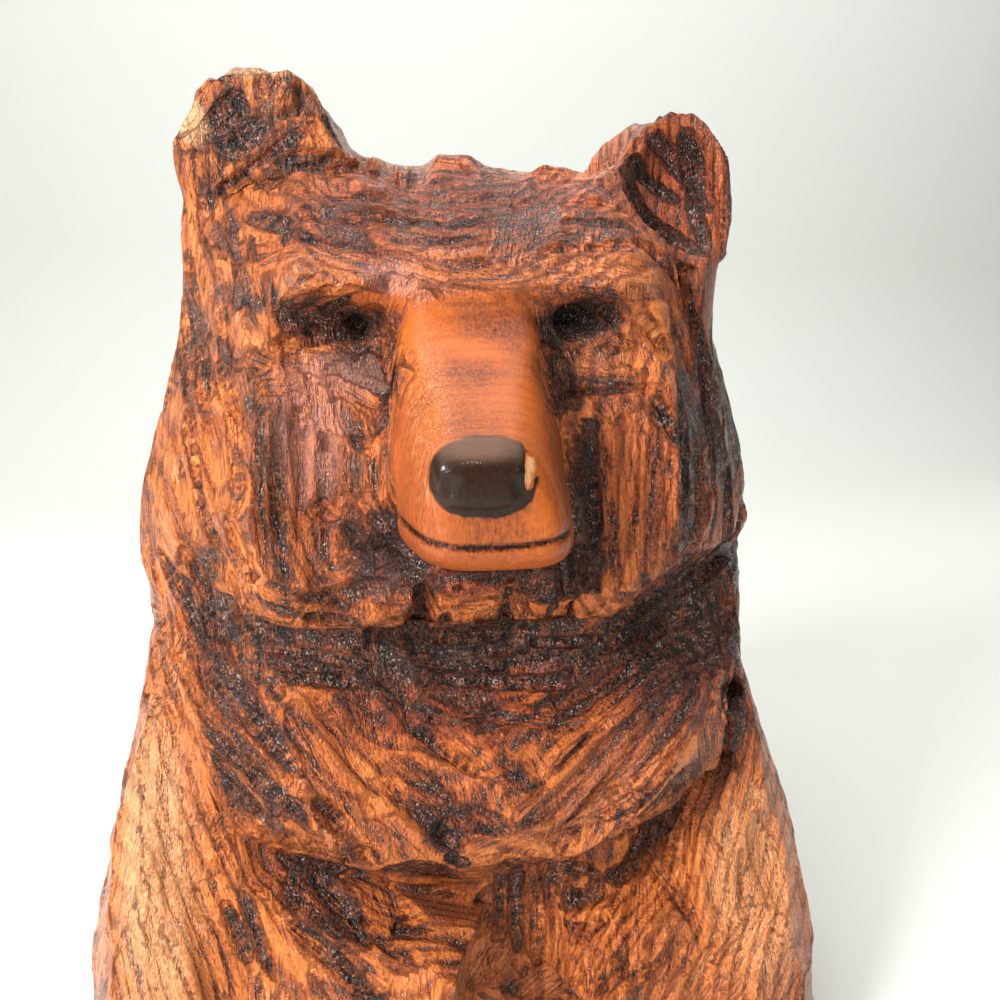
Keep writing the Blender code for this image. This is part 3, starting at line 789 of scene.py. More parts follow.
class Carving:
    """The dense mesh being carved, as arrays: places, neighbours and what each stroke left."""

    def __init__(self, mesh):
        self.mesh = mesh
        self.places = np.empty(len(mesh.vertices) * 3)
        mesh.vertices.foreach_get("co", self.places)
        self.places = self.places.reshape(-1, 3)
        edges = np.empty(len(mesh.edges) * 2, np.int32)
        mesh.edges.foreach_get("vertices", edges)
        self.ends = edges.reshape(-1, 2)
        count = len(self.places)
        self.valence = np.bincount(self.ends.ravel(), minlength=count)
        self.torn = np.zeros(count)
        self.tone = np.zeros(count)
        self.stroke = np.zeros((count, 3))
        self.passes = 0
        self.last_pass = np.zeros(count, np.int32)
        self.free = 1 - sanded(self.places)
        self.normals = self.facings(self.places)
        self.lie = unit(self.facings(self.spread(self.places, LIE_ROUNDS)))

    def spread(self, values, rounds):
        """Values averaged over each vertex's neighbours, a number of times."""
        a, b = self.ends.T
        columns = values.reshape(len(values), -1).copy()
        for _ in range(rounds):
            for k in range(columns.shape[1]):
                column = columns[:, k]
                total = np.bincount(a, column[b], len(column))
                total += np.bincount(b, column[a], len(column))
                columns[:, k] = 0.5 * column + 0.5 * total / np.maximum(self.valence, 1)
        return columns.reshape(values.shape)

    def facings(self, places):
        """Which way the wood faces at each vertex, with the vertices at these places."""
        self.mesh.vertices.foreach_set("co", places.ravel())
        self.mesh.update()
        normals = np.empty(len(places) * 3, np.float32)
        self.mesh.vertex_normals.foreach_get("vector", normals)
        return normals.reshape(-1, 3).astype(float)

    def at_front(self, x, z):
        """The frontmost vertex at a point of the front view, in millimetres."""
        across = np.abs(self.places[:, 0] - x * MM)
        up = np.abs(self.places[:, 2] - z * MM)
        reach = 1.2 * MM
        for _ in range(8):
            found = np.nonzero((across < reach) & (up < reach))[0]
            if len(found):
                return found[np.argmin(self.places[found, 1])]
            reach *= 1.6
        raise RuntimeError(f"no wood at {x}, {z}")

    def cut(self, middle, ends, out, width, depth, torn, tone, stop):
        """One pass of a curved tool: the wood above it goes. ends are the pass's two ends."""
        along = ends[1] - ends[0]
        along = unit(along - out * (along @ out))
        across = np.cross(out, along)
        half = width / 2
        start, finish = ((end - middle) @ along for end in ends)
        start, finish = min(start, -width / 2), max(finish, width / 2)
        reach = max(-start, finish) + width
        offset = self.places - middle
        near = np.nonzero(np.einsum("ij,ij->i", offset, offset) < reach * reach)[0]
        near = near[(self.normals[near] @ out > FADE_FACING[0]) & (self.free[near] > 0.05)]
        offset = offset[near]
        u, v, w = offset @ along, offset @ across, offset @ out
        # The path bends to follow the wood: a parabola through the middle and both ends.
        slopes = [
            np.clip((end - middle) @ out / place, -STEEPEST, STEEPEST)
            for end, place in zip(ends, (start, finish))
        ]
        bend = (slopes[0] - slopes[1]) / (start - finish)
        path = (slopes[0] - bend * start) * u + bend * u * u
        run = RAMP * (finish - start)
        ramp_in = np.clip((start + run - u) / run, 0, 2)
        ramp_out = np.clip((u - finish + run) / run, 0, 2)
        if stop:
            ramp_out = np.where(u > finish, OUT_OF_REACH, 0)
        hollow = depth * np.abs(v / half) ** EDGE_POWER
        tool = path - depth + hollow + depth * (ramp_in**2 + ramp_out**2)
        within = (u > start - run) & (u < finish + run) & (np.abs(v) < FADE_ACROSS[1] * half)
        taken = (w > tool) & within
        index = near[taken]
        # What it takes fades out at its edges, where a sharp corner would leave a cliff.
        fade = 1 - step(np.abs(v) / half, *FADE_ACROSS)
        fade *= step(u, start - run, start + RAMP * run)
        if not stop:
            fade *= 1 - step(u, finish - RAMP * run, finish + run)
        # Wood standing far above the tool is another side of the bear, which it misses.
        above = (w - tool) / depth
        fade *= 1 - step(above, MOST_REMOVED, 2 * MOST_REMOVED)
        fade *= step(self.normals[near] @ out, *FADE_FACING) * self.free[near]
        removed = (np.minimum(above, MOST_REMOVED) * depth * fade)[taken]
        self.places[index] -= removed[:, None] * out
        share = np.clip(fade[taken] * 1.5, 0, 1)
        edge = 1 - EDGE_CLEANER * np.clip(np.abs(v[taken]) / half, 0, 1) ** 2
        self.torn[index] += (torn * edge - self.torn[index]) * share
        self.tone[index] = tone
        self.stroke[index, 0] = u[taken]
        self.stroke[index, 1] = v[taken]
        self.stroke[index, 2] = tone * TONE_APART
        self.passes += 1
        self.last_pass[index] = self.passes

    def seams(self):
        """1 where two passes meet, fading to 0 within the next vertex or two."""
        a, b = self.ends.T
        met = (self.last_pass[a] != self.last_pass[b]).astype(float)
        count = len(self.places)
        beside = np.bincount(a, met, count) + np.bincount(b, met, count)
        return np.clip(2 * self.spread((beside > 0).astype(float), 1), 0, 1)

    def front_pass(self, s, tone):
        """Cuts one stroke of the tables, where the front view shows its two ends."""
        places = self.places
        first, last = self.at_front(s.x0, s.z0), self.at_front(s.x1, s.z1)
        middle = self.at_front((s.x0 + s.x1) / 2, (s.z0 + s.z1) / 2)
        out = unit(self.lie[first] + 2 * self.lie[middle] + self.lie[last])
        ends = (places[first].copy(), places[last].copy())
        depth = s.depth * MM * DEPTH_SHARE
        self.cut(places[middle].copy(), ends, out, s.width * MM, depth, s.torn, tone, s.stop)


def merged_copy(node):
    """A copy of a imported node's mesh with its loose triangles joined up."""
    bm = bmesh.new()
    bm.from_mesh(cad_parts[node].data)
    bmesh.ops.remove_doubles(bm, verts=bm.verts, dist=1e-6)
    mesh = bpy.data.meshes.new(node)
    bm.to_mesh(mesh)
    bm.free()
    return mesh


def applied(thing):
    """The thing's mesh as its modifiers leave it, put in place of its own."""
    graph = bpy.context.evaluated_depsgraph_get()
    mesh = bpy.data.meshes.new_from_object(thing.evaluated_get(graph))
    old = thing.data
    thing.modifiers.clear()
    thing.data = mesh
    bpy.data.meshes.remove(old)
    return mesh


def sanded(places):
    """1 on the muzzle, which was sanded smooth after the saw, 0 off it."""
    x, y, z = (places / MM).T
    root = MUZZLE_BACK + ROOT_REACH * step(z, *ROOT_Z)
    return (
        (1 - step(np.abs(x), MUZZLE_HALF, MUZZLE_HALF + 4))
        * (1 - step(y, root - 8, root + 2))
        * step(z, MUZZLE_Z[0] - 4, MUZZLE_Z[0])
        * (1 - step(z, MUZZLE_Z[1] - 6, MUZZLE_Z[1] + 6))
    )


def lay_of(place, out):
    """The way the saw went at a place, for the rough passes.

    It went back over the crown, down and outwards over the chest and arms, and down the
    head and the back.
    """
    x, y, z = place / MM
    if out[2] > 0.75:
        way = np.array((0.25 * math.copysign(1, x), 1.0, 0.0))
    elif y < -15 and z < 140:
        way = np.array((-0.55 * math.copysign(1, x), 0.0, -1.0))
    elif y < 40:
        way = np.array((0.0, -0.3, -1.0))
    else:
        way = np.array((0.35 * math.copysign(1, x), 0.0, -1.0))
    way = way - out * (way @ out)
    return unit(way)


def rough_strokes(carving, spacing, depth, rng):
    """Hews the whole block with short passes, before the drawn ones."""
    order = rng.permutation(len(carving.places))
    free = np.ones(len(order), bool)
    smooth = sanded(carving.places) > 0.2
    shallow = 1 - 0.6 * np.clip(patch_values(carving.places, "soft"), 0, 1)
    clean = 1 - 0.8 * np.clip(patch_values(carving.places, "calm"), 0, 1)
    for index in order:
        if not free[index]:
            continue
        place, out = carving.places[index].copy(), carving.lie[index]
        offset = carving.places - place
        gap = spacing * (LEAST_GAP + CHANCE_GAP * rng.random())
        free &= np.einsum("ij,ij->i", offset, offset) > gap * gap
        length, width = rng.uniform(*ROUGH_LENGTH) * MM, rng.uniform(*ROUGH_WIDTH) * MM
        torn = rng.choice(ROUGH_TORN) * clean[index]
        tone, turn = rng.random(), rng.normal(0, ROUGH_STRAY)
        if smooth[index] or place[2] < 3 * MM or out[2] < -0.7:
            continue
        along = lay_of(place, out)
        along = along * math.cos(turn) + np.cross(out, along) * math.sin(turn)
        ends = []
        for way in (-1, 1):
            goal = place + along * way * length / 2
            reach = carving.places - goal
            ends.append(carving.places[np.argmin(np.einsum("ij,ij->i", reach, reach))].copy())
        if min((place - ends[0]) @ along, (ends[1] - place) @ along) < SHORTEST * MM:
            continue
        deep = depth * rng.uniform(*ROUGH_DEPTH) * shallow[index]
        carving.cut(place, ends, out, width, deep, torn, tone, 0)


def patch_values(places, what):
    """How much of one finish each vertex has, from the table of patches."""
    x, y, z = (places / MM).T
    front = 1 - step(y, *PATCHES_END)
    total = np.zeros(len(places))
    for p in PATCHES:
        if p.what != what:
            continue
        turn = math.radians(p.turn)
        across, up = x - p.x, z - p.z
        a = (across * math.cos(turn) + up * math.sin(turn)) / p.half_x
        b = (up * math.cos(turn) - across * math.sin(turn)) / p.half_z
        reach = np.sqrt(a * a + b * b)
        total = np.maximum(total, p.amount * np.clip(PATCH_REACH - reach, 0, 1))
    return total * front


def painted(places):
    """The black nose: 0.5 is the edge of the paint."""
    x, y, z = (places / MM).T
    half_up = NOSE_HALF[1] * (1 + NOSE_DROP * (z < NOSE[1]))
    a = np.abs((x - NOSE[0]) / NOSE_HALF[0]) ** NOSE_SQUARE[0]
    b = np.abs((z - NOSE[1]) / half_up) ** NOSE_SQUARE[1]
    inside = 1 - (a + b) ** 0.5
    paint = np.clip(0.5 + inside * PAINT_EDGE - patch_values(places, "worn"), 0, 1)
    return paint * (1 - step(y, NOSE_BACK - 3, NOSE_BACK))


def relief(carving, sizes):
    """Raises the torn fibres and the growth rings on the finished strokes.

    Torn fibres lie along each stroke, 2 mm wide, with crumbs between them. Rings wander
    about the pith. The chain's teeth drag lines along a stroke, and the wood's own grain
    runs up the log.
    """
    places = carving.places
    normals = carving.facings(places)
    smooth = sanded(places)
    torn = carving.torn + DARK_TORN * patch_values(places, "dark")
    torn = np.clip(torn, 0, 1) * (1 - smooth)
    fibres = carving.stroke + np.array((0, 0, 1)) * places[:, 2:3] * FIBRE_DRIFT
    shreds = noise(fibres, *SHREDS)
    crumbs = noise(places, *CRUMBS)
    breaks = noise(places, *BREAKS)
    rough = step(torn + RAGGED * (breaks - 0.5), *TORN_FROM)
    rise = (shreds - SHRED_LEVEL) * SHRED_RISE + (crumbs - 0.5) * CRUMB_RISE
    height = sizes.tear * rough * rise
    warp = noise(places, *WANDERING) * WANDERS * MM
    reach = np.hypot(places[:, 0] - PITH[0] * MM, places[:, 1] - PITH[1] * MM) + warp
    rings = np.sin(2 * math.pi * reach / sizes.ring)
    height += sizes.ring_rise * rings * (1 - RINGS_SANDED * smooth) * (1 - rough)
    combs = noise(carving.stroke, *COMBS)
    height += sizes.comb * (combs - 0.5) * (1 - smooth)
    streaks = noise(places, *STREAKS)
    height += sizes.grain * (streaks - 0.5) * (1 - smooth)
    carving.places = places + normals * height[:, None]
    return rough


def raise_lump(carving, lump):
    """Pushes a rounded lump out of the wood, or in where its rise is negative."""
    middle = carving.at_front(lump.x, lump.z)
    offset = carving.places - carving.places[middle]
    fall = np.einsum("ij,ij->i", offset, offset) / (lump.radius * MM) ** 2
    out = unit(carving.lie[middle])
    carving.places += out * (lump.rise * MM * np.exp(-1.2 * fall))[:, None]


def snap_spikes(carving):
    """Snaps off what stands far out of the wood around it, however thin it is."""
    around = carving.spread(carving.places, AROUND_ROUNDS)
    stray = carving.places - around
    reach = np.maximum(np.linalg.norm(stray, axis=1), MM / 1000)
    carving.places = around + stray * np.minimum(1, SPIKE * MM / reach)[:, None]


def blunt(carving):
    """Knocks off splinters that stand proud of the wood around them, and fills slits."""
    normals = carving.facings(carving.places)
    around = carving.spread(carving.places, AROUND_ROUNDS)
    proud = np.einsum("ij,ij->i", carving.places - around, normals)
    trim = np.clip(proud - PROUDEST * MM, 0, None) - np.clip(DEEPEST * MM - proud, 0, None)
    carving.places -= carving.spread(normals * trim[:, None], 2)


def open_mouth(carving):
    """Cuts the line between the lips and the nostrils. Returns how deep each vertex went."""
    places = carving.places
    depth = np.zeros(len(places))
    for (x0, z0), (x1, z1) in zip(MOUTH, MOUTH[1:]):
        start, along = np.array((x0, z0)) * MM, np.array((x1 - x0, z1 - z0)) * MM
        offset = places[:, (0, 2)] - start
        t = np.clip(offset @ along / (along @ along), 0, 1)
        away = np.linalg.norm(offset - t[:, None] * along, axis=1)
        depth = np.maximum(depth, 1 - away / (MOUTH_HALF * MM))
    for x, z in NOSTRILS:
        away = np.hypot(places[:, 0] - x * MM, places[:, 2] - z * MM)
        depth = np.maximum(depth, NOSTRIL_DEPTH * (1 - away / (NOSTRIL_HALF * MM)))
    depth *= sanded(places) * (places[:, 1] < MOUTH_BACK * MM)
    carving.places = places - carving.lie * (depth * MOUTH_DEPTH * MM)[:, None]
    return depth


def weathered_and_shaded(carving, places, hollow):
    """How dark the wood is, 0 where clear honey, 1 where burnt black, painted shade included."""
    mottle = np.zeros(len(places))
    for share, size, seed in MOTTLES:
        mottle += share * (noise(places, (size, size, MOTTLE_STRETCH * size), seed) - 0.5)
    drag = noise(carving.stroke, *DRAGS) - 0.5
    smooth = sanded(places)
    patchy = 0.5 + noise(places, *SCORCHES)
    scorch = carving.spread(carving.torn, SCORCH_ROUNDS) * patchy
    stained = SCORCHED * scorch + TONED * (carving.tone - 0.5) + mottle + DRAGGED * drag
    # Hollows take stain and painted shade; ridges are rubbed lighter.
    stained += np.where(hollow > 0, SHADE_AND_STAIN_IN_HOLLOWS, ON_RIDGES) * hollow
    burn_and_shade = WOOD_BURN + stained * (1 - CALMED * np.clip(patch_values(places, "calm"), 0, 1))
    burn_and_shade += sum(share * patch_values(places, what) for what, share in BURN_AND_SHADE_OF_PATCHES)
    # Sheared wood stays evenly clear, and torn wood takes the scorch and the stain.
    even = CLEAR_BURN + (TORN_BURN - CLEAR_BURN) * step(burn_and_shade, *BETWEEN_THEM)
    burn_and_shade += EVENNESS * (even - burn_and_shade)
    muzzle = MUZZLE_BURN + MUZZLE_MOTTLE * mottle + MUZZLE_SHADE_AND_STAIN * np.clip(hollow - 0.1, 0, 1)
    muzzle += BROWNED_AND_SHADED * patch_values(places, "aged")
    return burn_and_shade * (1 - smooth) + muzzle * smooth


def attribute(mesh, name, values):
    """Stores a number or a vector for each vertex, where the material can read it."""
    kind = "FLOAT_VECTOR" if values.ndim == 2 else "FLOAT"
    layer = mesh.attributes.new(name, kind, "POINT")
    field = "vector" if values.ndim == 2 else "value"
    layer.data.foreach_set(field, values.astype(np.float32).ravel())


def thin_out(thing, places, normals, triangles):
    """Brings the mesh down to a number of triangles, most of them kept on the front."""
    mesh = thing.data
    behind = thing.vertex_groups.new(name="behind")
    back = step(places[:, 1], THIN_FROM[0] * MM, THIN_FROM[1] * MM)
    back = back * (1 - THIN_FRONT) + THIN_FRONT
    back = np.where(normals[:, 2] < UNDERSIDE, 1.0, back)
    for level in range(1, 11):
        members = np.nonzero(np.round(back * 10) == level)[0]
        if len(members):
            behind.add(members.tolist(), level / 10, "REPLACE")
    count = sum(len(p.vertices) - 2 for p in mesh.polygons)
    thin = thing.modifiers.new("thin", "DECIMATE")
    thin.ratio = triangles / count
    thin.vertex_group = "behind"
    thin.vertex_group_factor = 1e-5
    thin.use_collapse_triangulate = True
    mesh = applied(thing)
    thing.vertex_groups.clear()
    mesh.polygons.foreach_set("use_smooth", [True] * len(mesh.polygons))
    print("carving:", count, "to", len(mesh.polygons), "triangles")


def carve(sizes):
    """The bear as a mesh object: remeshed fine, hewn, torn, then thinned out."""
    thing = bpy.data.objects.new("bear_carving", merged_copy(NODE))
    bpy.context.scene.collection.objects.link(thing)
    remesh = thing.modifiers.new("remesh", "REMESH")
    remesh.mode = "VOXEL"
    remesh.voxel_size = sizes.voxel
    mesh = applied(thing)
    carving = Carving(mesh)
    rng = np.random.default_rng(SEED)

    smooth = sanded(carving.places)
    crisp = carving.spread(carving.places, STAIR_ROUNDS)
    soft = carving.spread(crisp, SOFT_ROUNDS)
    crisp += (soft - crisp) * np.clip(patch_values(crisp, "soft"), 0, 1)[:, None]
    soft = carving.spread(crisp, SANDING_ROUNDS)
    nose = painted(crisp) > 0.4
    carving.places = crisp + (soft - crisp) * (carving.spread(smooth * ~nose, 4))[:, None]
    floor = carving.places[:, 2] < LOW.z + 1.5 * MM
    rough_strokes(carving, sizes.spacing, sizes.depth, rng)
    for s in FRONT:
        carving.front_pass(s, rng.random())
    for lump in LUMPS:
        raise_lump(carving, lump)
    for _ in range(SNAPS):
        snap_spikes(carving)
    blunt(carving)
    eased = np.clip(patch_values(carving.places, "eased"), 0, 1)[:, None]
    carving.places += (carving.spread(carving.places, EASING_ROUNDS) - carving.places) * eased
    mouth = open_mouth(carving)
    rough = relief(carving, sizes)

    places = carving.places
    normals = carving.facings(places)
    hollow = np.zeros(len(places))
    for rounds, deep in HOLLOWS:
        sunk = np.einsum("ij,ij->i", carving.spread(places, rounds) - places, normals)
        hollow += 0.5 * np.clip(sunk / (deep * MM), -1, 1)

    low, high = np.array(LOW), np.array(HIGH)
    places = np.clip(places, low, high)
    places[floor, 2] = LOW.z
    mesh.vertices.foreach_set("co", places.ravel())
    attribute(mesh, "stroke", carving.stroke)
    attribute(mesh, "rough", rough)
    attribute(mesh, "seam", carving.seams())
    burn_and_shade = weathered_and_shaded(carving, places, carving.spread(hollow, 1))
    # Painted shade darkens the line between the lips and the nostrils.
    attribute(mesh, "burn_and_shade", burn_and_shade + MOUTH_SHADE * np.clip(mouth, 0, 1))
    attribute(mesh, "sanded", sanded(places))
    attribute(mesh, "paint", painted(places))
    for what in ("red", "pale", "painted_sheen", "dust_and_sheen"):
        attribute(mesh, what, patch_values(places, what))
    mesh.update()

    thin_out(thing, places, normals, sizes.triangles)
    return thing


# ---------------------------------------------------------------- materials


def node(tree, kind, inputs, output=0, **settings):
    """Adds a node, sets it up, and links or fills its inputs. Returns one of its outputs."""
    made = tree.nodes.new("ShaderNode" + kind)
    for name, value in settings.items():
        setattr(made, name, value)
    for name, value in inputs.items():
        socket = made.inputs[name]
        if isinstance(value, bpy.types.NodeSocket):
            tree.links.new(value, socket)
        else:
            socket.default_value = value
    return made.outputs[output]


def varnished_cedar(colours, sizes):
    """Red cedar, sawn and gouged, torn along its grain, flamed in places and varnished.

    To the eye: amber to red-brown wood with darker growth rings, orange where the saw
    sheared it, black and glittering where it tore, with painted glints on the fibres and a
    painted pink sheen in places, rubbed paler along the ridges.
    """
    material = bpy.data.materials.new("varnished cedar")
    material.use_nodes = True
    tree = material.node_tree
    shader = tree.nodes["Principled BSDF"]
    add = functools.partial(node, tree)

    place = add("TexCoord", {}, "Object")
    stroke = add("Attribute", {}, "Vector", attribute_name="stroke")
    burn_and_shade, rough, seam, red, pale, painted_sheen, dust_and_sheen, smooth, paint = (
        add("Attribute", {}, "Fac", attribute_name=name)
        for name in ("burn_and_shade", "rough", "seam", "red", "pale", "painted_sheen", "dust_and_sheen", "sanded", "paint")
    )

    # Flecks of 0.9 mm, shreds of 0.8 by 6 mm along each stroke, and fibres of 0.45 by
    # 8 mm up the log. Real cedar fibres are a tenth of that and would not be seen.
    at_fleck = add("Mapping", {"Vector": place, "Scale": (1100, 1100, 700)})
    fleck = add("TexNoise", {"Vector": at_fleck, "Scale": 1.0, "Detail": 2.0, "Roughness": 0.7})
    grit = add("TexNoise", {"Vector": at_fleck, "Scale": 1.7, "Detail": 1.0})
    at_shred = add("Mapping", {"Vector": stroke, "Scale": (170, 1300, 1000)})
    shred = add("TexNoise", {"Vector": at_shred, "Scale": 1.0, "Detail": 1.0, "Roughness": 0.65})
    shred = add("Mix", {"Factor": seam, "A": shred, "B": 0.5}, data_type="FLOAT")
    at_fibre = add("Mapping", {"Vector": place, "Scale": (2200, 2200, 125)})
    fibre = add("TexNoise", {"Vector": at_fibre, "Scale": 1.0, "Detail": 1.0, "Roughness": 0.6})
    at_mottle = add("Mapping", {"Vector": place, "Scale": (240, 240, 150)})
    mottle = add("TexNoise", {"Vector": at_mottle, "Scale": 1.0, "Detail": 3.0, "Roughness": 0.6})

    # Cracks and broken ledges run with each stroke: ledges 3 by 10 mm, cracks 2.5 by 17 mm.
    at_ledge = add("Mapping", {"Vector": stroke, "Scale": (100, 330, 1000)})
    ledge = add("TexNoise", {"Vector": at_ledge, "Scale": 1.0, "Detail": 1.0, "Roughness": 0.6})
    ledge = add("MapRange", {"Value": ledge, "From Min": 0.46, "From Max": 0.54})
    at_crack = add("Mapping", {"Vector": stroke, "Scale": (60, 400, 1000)})
    crack = add("TexNoise", {"Vector": at_crack, "Scale": 1.0, "Detail": 1.0, "Roughness": 0.6})
    crack = add("Math", {0: crack, 1: 0.5, 2: 0.035}, operation="COMPARE")
    sheared = add("Math", {0: seam, 1: smooth}, operation="MAXIMUM")
    rugged = add("Math", {0: 1.0, 1: sheared}, operation="SUBTRACT", use_clamp=True)

    # Chatter of the chain across each torn stroke: ripples of 1.7 by 4 mm.
    at_chatter = add("Mapping", {"Vector": stroke, "Scale": (600, 240, 1000)})
    chatter = add("TexNoise", {"Vector": at_chatter, "Scale": 1.0, "Detail": 1.0})
    chatter = add("Math", {0: chatter, 1: 0.5}, operation="SUBTRACT")
    chatter = add("Math", {0: chatter, 1: rough}, operation="MULTIPLY")
    chatter = add("Math", {0: chatter, 1: rugged}, operation="MULTIPLY")

    # Growth rings about the pith, wandering as the trunk grew.
    at_ring = add("Mapping", {"Vector": place, "Location": (-PITH[0] * MM, -PITH[1] * MM, 0)})
    ring = add(
        "TexWave",
        {
            "Vector": at_ring,
            "Scale": math.pi / (10 * sizes.ring),
            "Distortion": 9.0,
            "Detail": 2.0,
            "Detail Scale": 0.12,
        },
        "Fac",
        wave_type="RINGS",
        rings_direction="Z",
    )
    ring = add("MapRange", {"Value": ring, "From Min": 0.55, "From Max": 1.0})

    # The darker the wood, the more it is broken up into light and dark bits.
    bits = add("CombineXYZ", {"X": shred, "Y": fleck, "Z": fibre})
    fine = add("VectorMath", {0: bits, 1: (1.1, 1.3, 0.7)}, "Value", operation="DOT_PRODUCT")
    fine = add("Math", {0: fine, 1: 1.55}, operation="SUBTRACT")
    contrast = add("MapRange", {"Value": burn_and_shade, "From Min": 0.2, "From Max": 0.8})
    contrast = add("Math", {0: contrast, 1: 0.9, 2: 0.24}, operation="MULTIPLY_ADD")
    contrast = add("Math", {0: smooth, 1: -0.28, 2: contrast}, operation="MULTIPLY_ADD")
    darkness = add("Math", {0: fine, 1: contrast, 2: burn_and_shade}, operation="MULTIPLY_ADD")
    plain = add("MapRange", {"Value": smooth, "To Min": 0.2, "To Max": 0.04})
    ring = add("Math", {0: ring, 1: plain}, operation="MULTIPLY")
    darkness = add("Math", {0: ring, 1: darkness}, operation="ADD")
    cracked = add("Math", {0: crack, 1: rugged}, operation="MULTIPLY")
    darkness = add("Math", {0: cracked, 1: 0.25, 2: darkness}, operation="MULTIPLY_ADD")
    # The chatter is painted darker in its troughs and lighter on its crests: painted shade and
    # light.
    darkness = add("Math", {0: chatter, 1: -1.3, 2: darkness}, operation="MULTIPLY_ADD")
    wood = add("ValToRGB", {"Fac": darkness}, "Color")
    ramp = wood.node.color_ramp.elements
    for element in list(ramp)[1:]:
        ramp.remove(element)
    ramp[0].position, ramp[0].color = 0.0, colours["honey"]
    for name, level in SHADES[1:]:
        ramp.new(level).color = colours[name]

    # Stain and a painted pink sheen lie over it in uneven patches, and bare wood shows where it
    # is worn; on the muzzle's left flank that bare colour is a painted highlight.
    edge = add("Math", {0: mottle, 1: 0.8, 2: red}, operation="MULTIPLY_ADD")
    edge = add("MapRange", {"Value": edge, "From Min": 0.5, "From Max": 1.2, "To Max": 0.55})
    tint = {"Factor": 1.0, 6: wood, 7: colours["stain"]}
    stained = add("Mix", tint, 2, data_type="RGBA", blend_type="MULTIPLY")
    wood = add("Mix", {"Factor": edge, 6: wood, 7: stained}, 2, data_type="RGBA")
    edge = add("Math", {0: mottle, 1: 0.6, 2: painted_sheen}, operation="MULTIPLY_ADD")
    edge = add("MapRange", {"Value": edge, "From Min": 0.6, "From Max": 1.2, "To Max": 0.6})
    wood = add("Mix", {"Factor": edge, 6: wood, 7: colours["painted_sheen"]}, 2, data_type="RGBA")
    edge = add("Math", {0: fibre, 1: 0.8, 2: pale}, operation="MULTIPLY_ADD")
    edge = add("MapRange", {"Value": edge, "From Min": 0.75, "From Max": 1.1})
    wood = add("Mix", {"Factor": edge, 6: wood, 7: colours["pale"]}, 2, data_type="RGBA")

    # Grey dust and a painted grey sheen lie in some kerfs, and painted glints, white flecks for
    # the light the varnish would catch, lie on the tips of the fibres.
    dust = add("MapRange", {"Value": fleck, "From Min": 0.4, "From Max": 0.7, "To Max": 0.6})
    dust = add("Math", {0: dust, 1: dust_and_sheen}, operation="MULTIPLY")
    wood = add("Mix", {"Factor": dust, 6: wood, 7: colours["dust"]}, 2, data_type="RGBA")
    torn = add("MapRange", {"Value": darkness, "From Min": 0.35, "From Max": 0.75})
    torn = add("Math", {0: dust_and_sheen, 1: torn}, operation="ADD", use_clamp=True)
    painted_glints = add("Math", {0: chatter, 1: 0.5, 2: grit}, operation="MULTIPLY_ADD")
    painted_glints = add("Math", {0: torn, 1: 0.08, 2: painted_glints}, operation="MULTIPLY_ADD")
    painted_glints = add("MapRange", {"Value": painted_glints, "From Min": 0.69, "From Max": 0.76, "To Max": 0.72})
    painted_glints = add("Math", {0: painted_glints, 1: rugged}, operation="MULTIPLY")
    wood = add("Mix", {"Factor": painted_glints, 6: wood, 7: colours["bloom"]}, 2, data_type="RGBA")

    # Black paint on the nose, rubbed through in spots, and lighter along its top: a painted
    # highlight.
    edge = add("Math", {0: mottle, 1: 0.16, 2: paint}, operation="MULTIPLY_ADD")
    edge = add("MapRange", {"Value": edge, "From Min": 0.54, "From Max": 0.62})
    rubbed_and_lit = add("Math", {0: fleck, 1: 0.3, 2: dust_and_sheen}, operation="MULTIPLY_ADD", use_clamp=True)
    shades = {"Factor": rubbed_and_lit, 6: colours["nose"], 7: colours["nose_light"]}
    nose = add("Mix", shades, 2, data_type="RGBA")
    wood = add("Mix", {"Factor": edge, 6: wood, 7: nose}, 2, data_type="RGBA")

    # Grain in relief: bits up to 0.5 mm high where it tore, under 0.1 mm where it sheared.
    fuzz = add("VectorMath", {0: bits, 1: (-1.0, -1.3, -0.1)}, "Value", operation="DOT_PRODUCT")
    fuzz = add("Math", {0: grit, 1: -0.4, 2: fuzz}, operation="MULTIPLY_ADD")
    lift = add("MapRange", {"Value": darkness, "From Min": 0.2, "From Max": 0.75, "To Min": 0.08})
    lift = add("Math", {0: rough, 1: 0.3, 2: lift}, operation="MULTIPLY_ADD")
    even = add("MapRange", {"Value": smooth, "To Min": 1.0, "To Max": 0.08})
    lift = add("Math", {0: lift, 1: even}, operation="MULTIPLY", use_clamp=True)
    height = add("Math", {0: fuzz, 1: lift}, operation="MULTIPLY")
    height = add("Math", {0: ring, 1: -0.25, 2: height}, operation="MULTIPLY_ADD")
    broken = add("Math", {0: cracked, 1: -0.35, 2: height}, operation="MULTIPLY_ADD")
    terrace = add("Math", {0: ledge, 1: lift}, operation="MULTIPLY")
    height = add("Math", {0: terrace, 1: 0.45, 2: broken}, operation="MULTIPLY_ADD")
    height = add("Math", {0: chatter, 1: 2.2, 2: height}, operation="MULTIPLY_ADD")
    bump = add("Bump", {"Height": height, "Strength": 1.0, "Distance": MM})

    # The varnish beads up on the fibres, so it glints more sharply than the wood beneath.
    bead = add("TexNoise", {"Vector": place, "Scale": 1500.0, "Detail": 1.0})
    film = add(
        "MapRange",
        {"Value": burn_and_shade, "From Min": 0.15, "From Max": 0.7, "To Min": 0.3, "To Max": 0.9},
    )
    film = add("Math", {0: rough, 1: 0.25, 2: film}, operation="MULTIPLY_ADD")
    film = add("Math", {0: film, 1: even}, operation="MULTIPLY")
    bead = add("Math", {0: bead, 1: film}, operation="MULTIPLY")
    bead = add("Bump", {"Height": bead, "Strength": 1.0, "Distance": MM, "Normal": bump})

